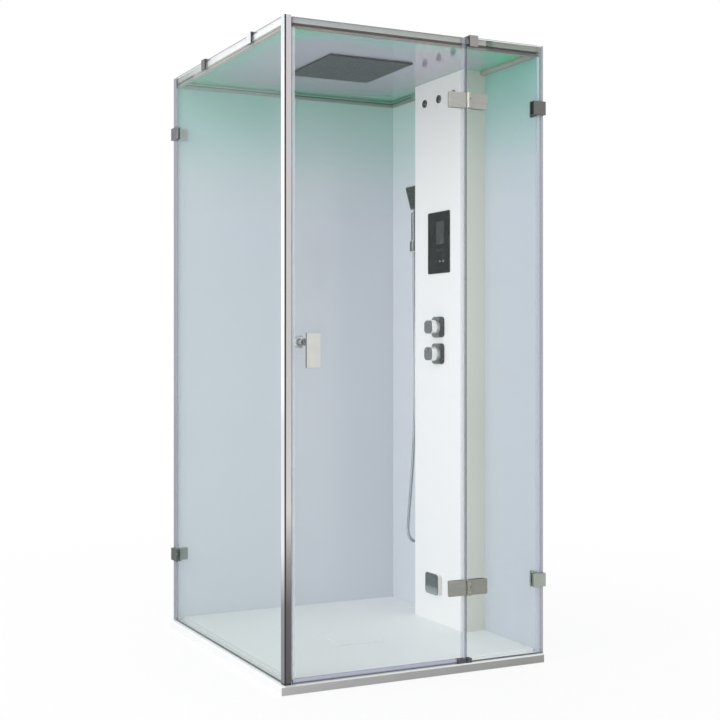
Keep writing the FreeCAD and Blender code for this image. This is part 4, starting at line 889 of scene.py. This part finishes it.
def make_display_frame():
    """Thin raised border round the display window."""
    low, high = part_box("display_window")
    mesh = bmesh.new()
    rings = []
    for reach, depth in ((0.2, 0.1), (0.2, -0.25), (-1.0, -0.25), (-1.3, 0.1)):
        grow = reach * MM
        x = low.x + depth * MM
        rings.append([mesh.verts.new(spot) for spot in (
            (x, low.y - grow, low.z - grow), (x, high.y + grow, low.z - grow),
            (x, high.y + grow, high.z + grow), (x, low.y - grow, high.z + grow))])
    skin(mesh, rings, False)
    piece("display_frame", mesh, "cabin", "frame")


def make_hinge_screws():
    """Set screws in the knuckles of each hinge: two bright ones on the fixed leaf, and between
    them a dark plug that turns with the door."""
    low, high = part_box("hinge_pins")
    axis = (low.x + high.x) / 2
    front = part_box("hinge_fixed_leaves")[0].y
    half = 25 * MM
    sunk = 0.6 * MM
    screw = [(0, 2.2 * MM), (0.68 * MM, 2.2 * MM), (0.75 * MM, 1.9 * MM)]
    bright, dark = bmesh.new(), bmesh.new()
    for middle in (low.z + half, high.z - half):
        for mesh, rise in ((bright, 15 * MM), (dark, 4 * MM), (bright, -13 * MM)):
            stud(mesh, Vector((axis, front + sunk, middle + rise)), Vector((0, -1, 0)), screw, 14)
    piece("hinge_screws", bright, "cabin", "chrome")
    piece("hinge_plugs", dark, "door", "black")


def make_glass_joints():
    """Silicone beads in the corners where the panes meet the wall panels."""
    gap = 1 * MM
    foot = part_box("shower_tray")[1].z + gap
    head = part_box("ceiling_cornice")[0].z - gap
    back_corner = (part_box("side_glass")[1].x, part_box("back_wall_panel")[0].y)
    front_corner = (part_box("right_wall_panel")[0].x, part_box("front_fixed_glass")[1].y)
    size = 7 * MM
    hollow = 0.45 * size
    sunk = 0.2 * MM
    mesh = bmesh.new()
    for (x, y), (east, north) in ((back_corner, (1, -1)), (front_corner, (-1, 1))):
        section = [(x - sunk * east, y - sunk * north), (x + size * east, y),
                   (x + hollow * east, y + hollow * north), (x, y + size * north)]
        skin(mesh, [[mesh.verts.new((u, v, level)) for u, v in section] for level in (foot, head)])
    piece("silicone_beads", mesh, "cabin", "joint")


make_rain_nozzles()
make_handset_nozzles()
make_key_marks()
make_display_frame()
make_hinge_screws()
make_glass_joints()


# ---- floor and light ----

def make_stage():
    """Pale floor that fades to plain white away from the cabin, where the camera sees it
    straight or through glass."""
    mesh = bpy.data.meshes.new("floor")
    size = 14.0
    mesh.from_pydata([(-size, -size, 0), (size, -size, 0), (size, size, 0), (-size, size, 0)],
                     [], [(0, 1, 2, 3)])
    floor = add_object("floor", mesh)
    floor.location.z = -0.5 * MM
    pale = (0.86, 0.86, 0.86)
    made = Finish("floor", pale, 0.6)
    made.vary(pale, 0.01, 0.6)
    path = made.node("ShaderNodeLightPath")
    seen = made.maths("MAXIMUM", path.outputs["Is Camera Ray"], path.outputs["Is Transmission Ray"])
    away = made.node("ShaderNodeVectorMath", operation="LENGTH")
    made.link(made.place, away.inputs[0])
    fade = made.ranged(away.outputs["Value"], 0.86, 1.0, 0.8, 3.0)
    glow = made.node("ShaderNodeEmission")
    blend = made.node("ShaderNodeMixShader")
    made.link(made.times(seen, fade), blend.inputs["Fac"])
    made.link(made.shader.outputs[0], blend.inputs[1])
    made.link(glow.outputs[0], blend.inputs[2])
    made.link(blend.outputs[0], made.tree.nodes["Material Output"].inputs["Surface"])
    floor.data.materials.append(made.material)


def make_world():
    """Pale studio, brighter on the left than in front; plain white where the camera sees it."""
    world = bpy.data.worlds.new("studio")
    bpy.context.scene.world = world
    world.use_nodes = True
    tree = world.node_tree
    ground = tree.nodes["Background"]
    way = tree.nodes.new("ShaderNodeTexCoord")
    split = tree.nodes.new("ShaderNodeSeparateXYZ")
    tree.links.new(way.outputs["Generated"], split.inputs[0])
    middle_level = 0.93
    level = None
    for output, gain in zip(split.outputs, (-0.16, 0.10, 0.06)):
        term = tree.nodes.new("ShaderNodeMath")
        term.operation = "MULTIPLY_ADD"
        tree.links.new(output, term.inputs[0])
        term.inputs[1].default_value = gain
        if level is None:
            term.inputs[2].default_value = middle_level
        else:
            tree.links.new(level, term.inputs[2])
        level = term.outputs[0]
    path = tree.nodes.new("ShaderNodeLightPath")
    pick = tree.nodes.new("ShaderNodeMix")
    tree.links.new(path.outputs["Is Camera Ray"], pick.inputs[0])
    tree.links.new(level, pick.inputs[2])
    pick.inputs[3].default_value = 1.0
    tree.links.new(pick.outputs[0], ground.inputs["Strength"])
    ground.inputs["Color"].default_value = (1, 1, 1, 1)


def area_light(name, place, target, size, power):
    """A soft rectangular lamp that looks from a place at a target."""
    data = bpy.data.lights.new(name, "AREA")
    data.shape = "RECTANGLE"
    data.size, data.size_y = size
    data.energy = power
    lamp = add_object(name, data)
    lamp.location = place
    aim = Vector(target) - Vector(place)
    lamp.rotation_euler = aim.to_track_quat("-Z", "Y").to_euler()


make_stage()
make_world()
area_light("key_left", (-4.0, -1.2, 2.6), (0, 0, 1.0), (2.5, 3.0), 55)

bpy.context.scene.view_settings.view_transform = "Standard"
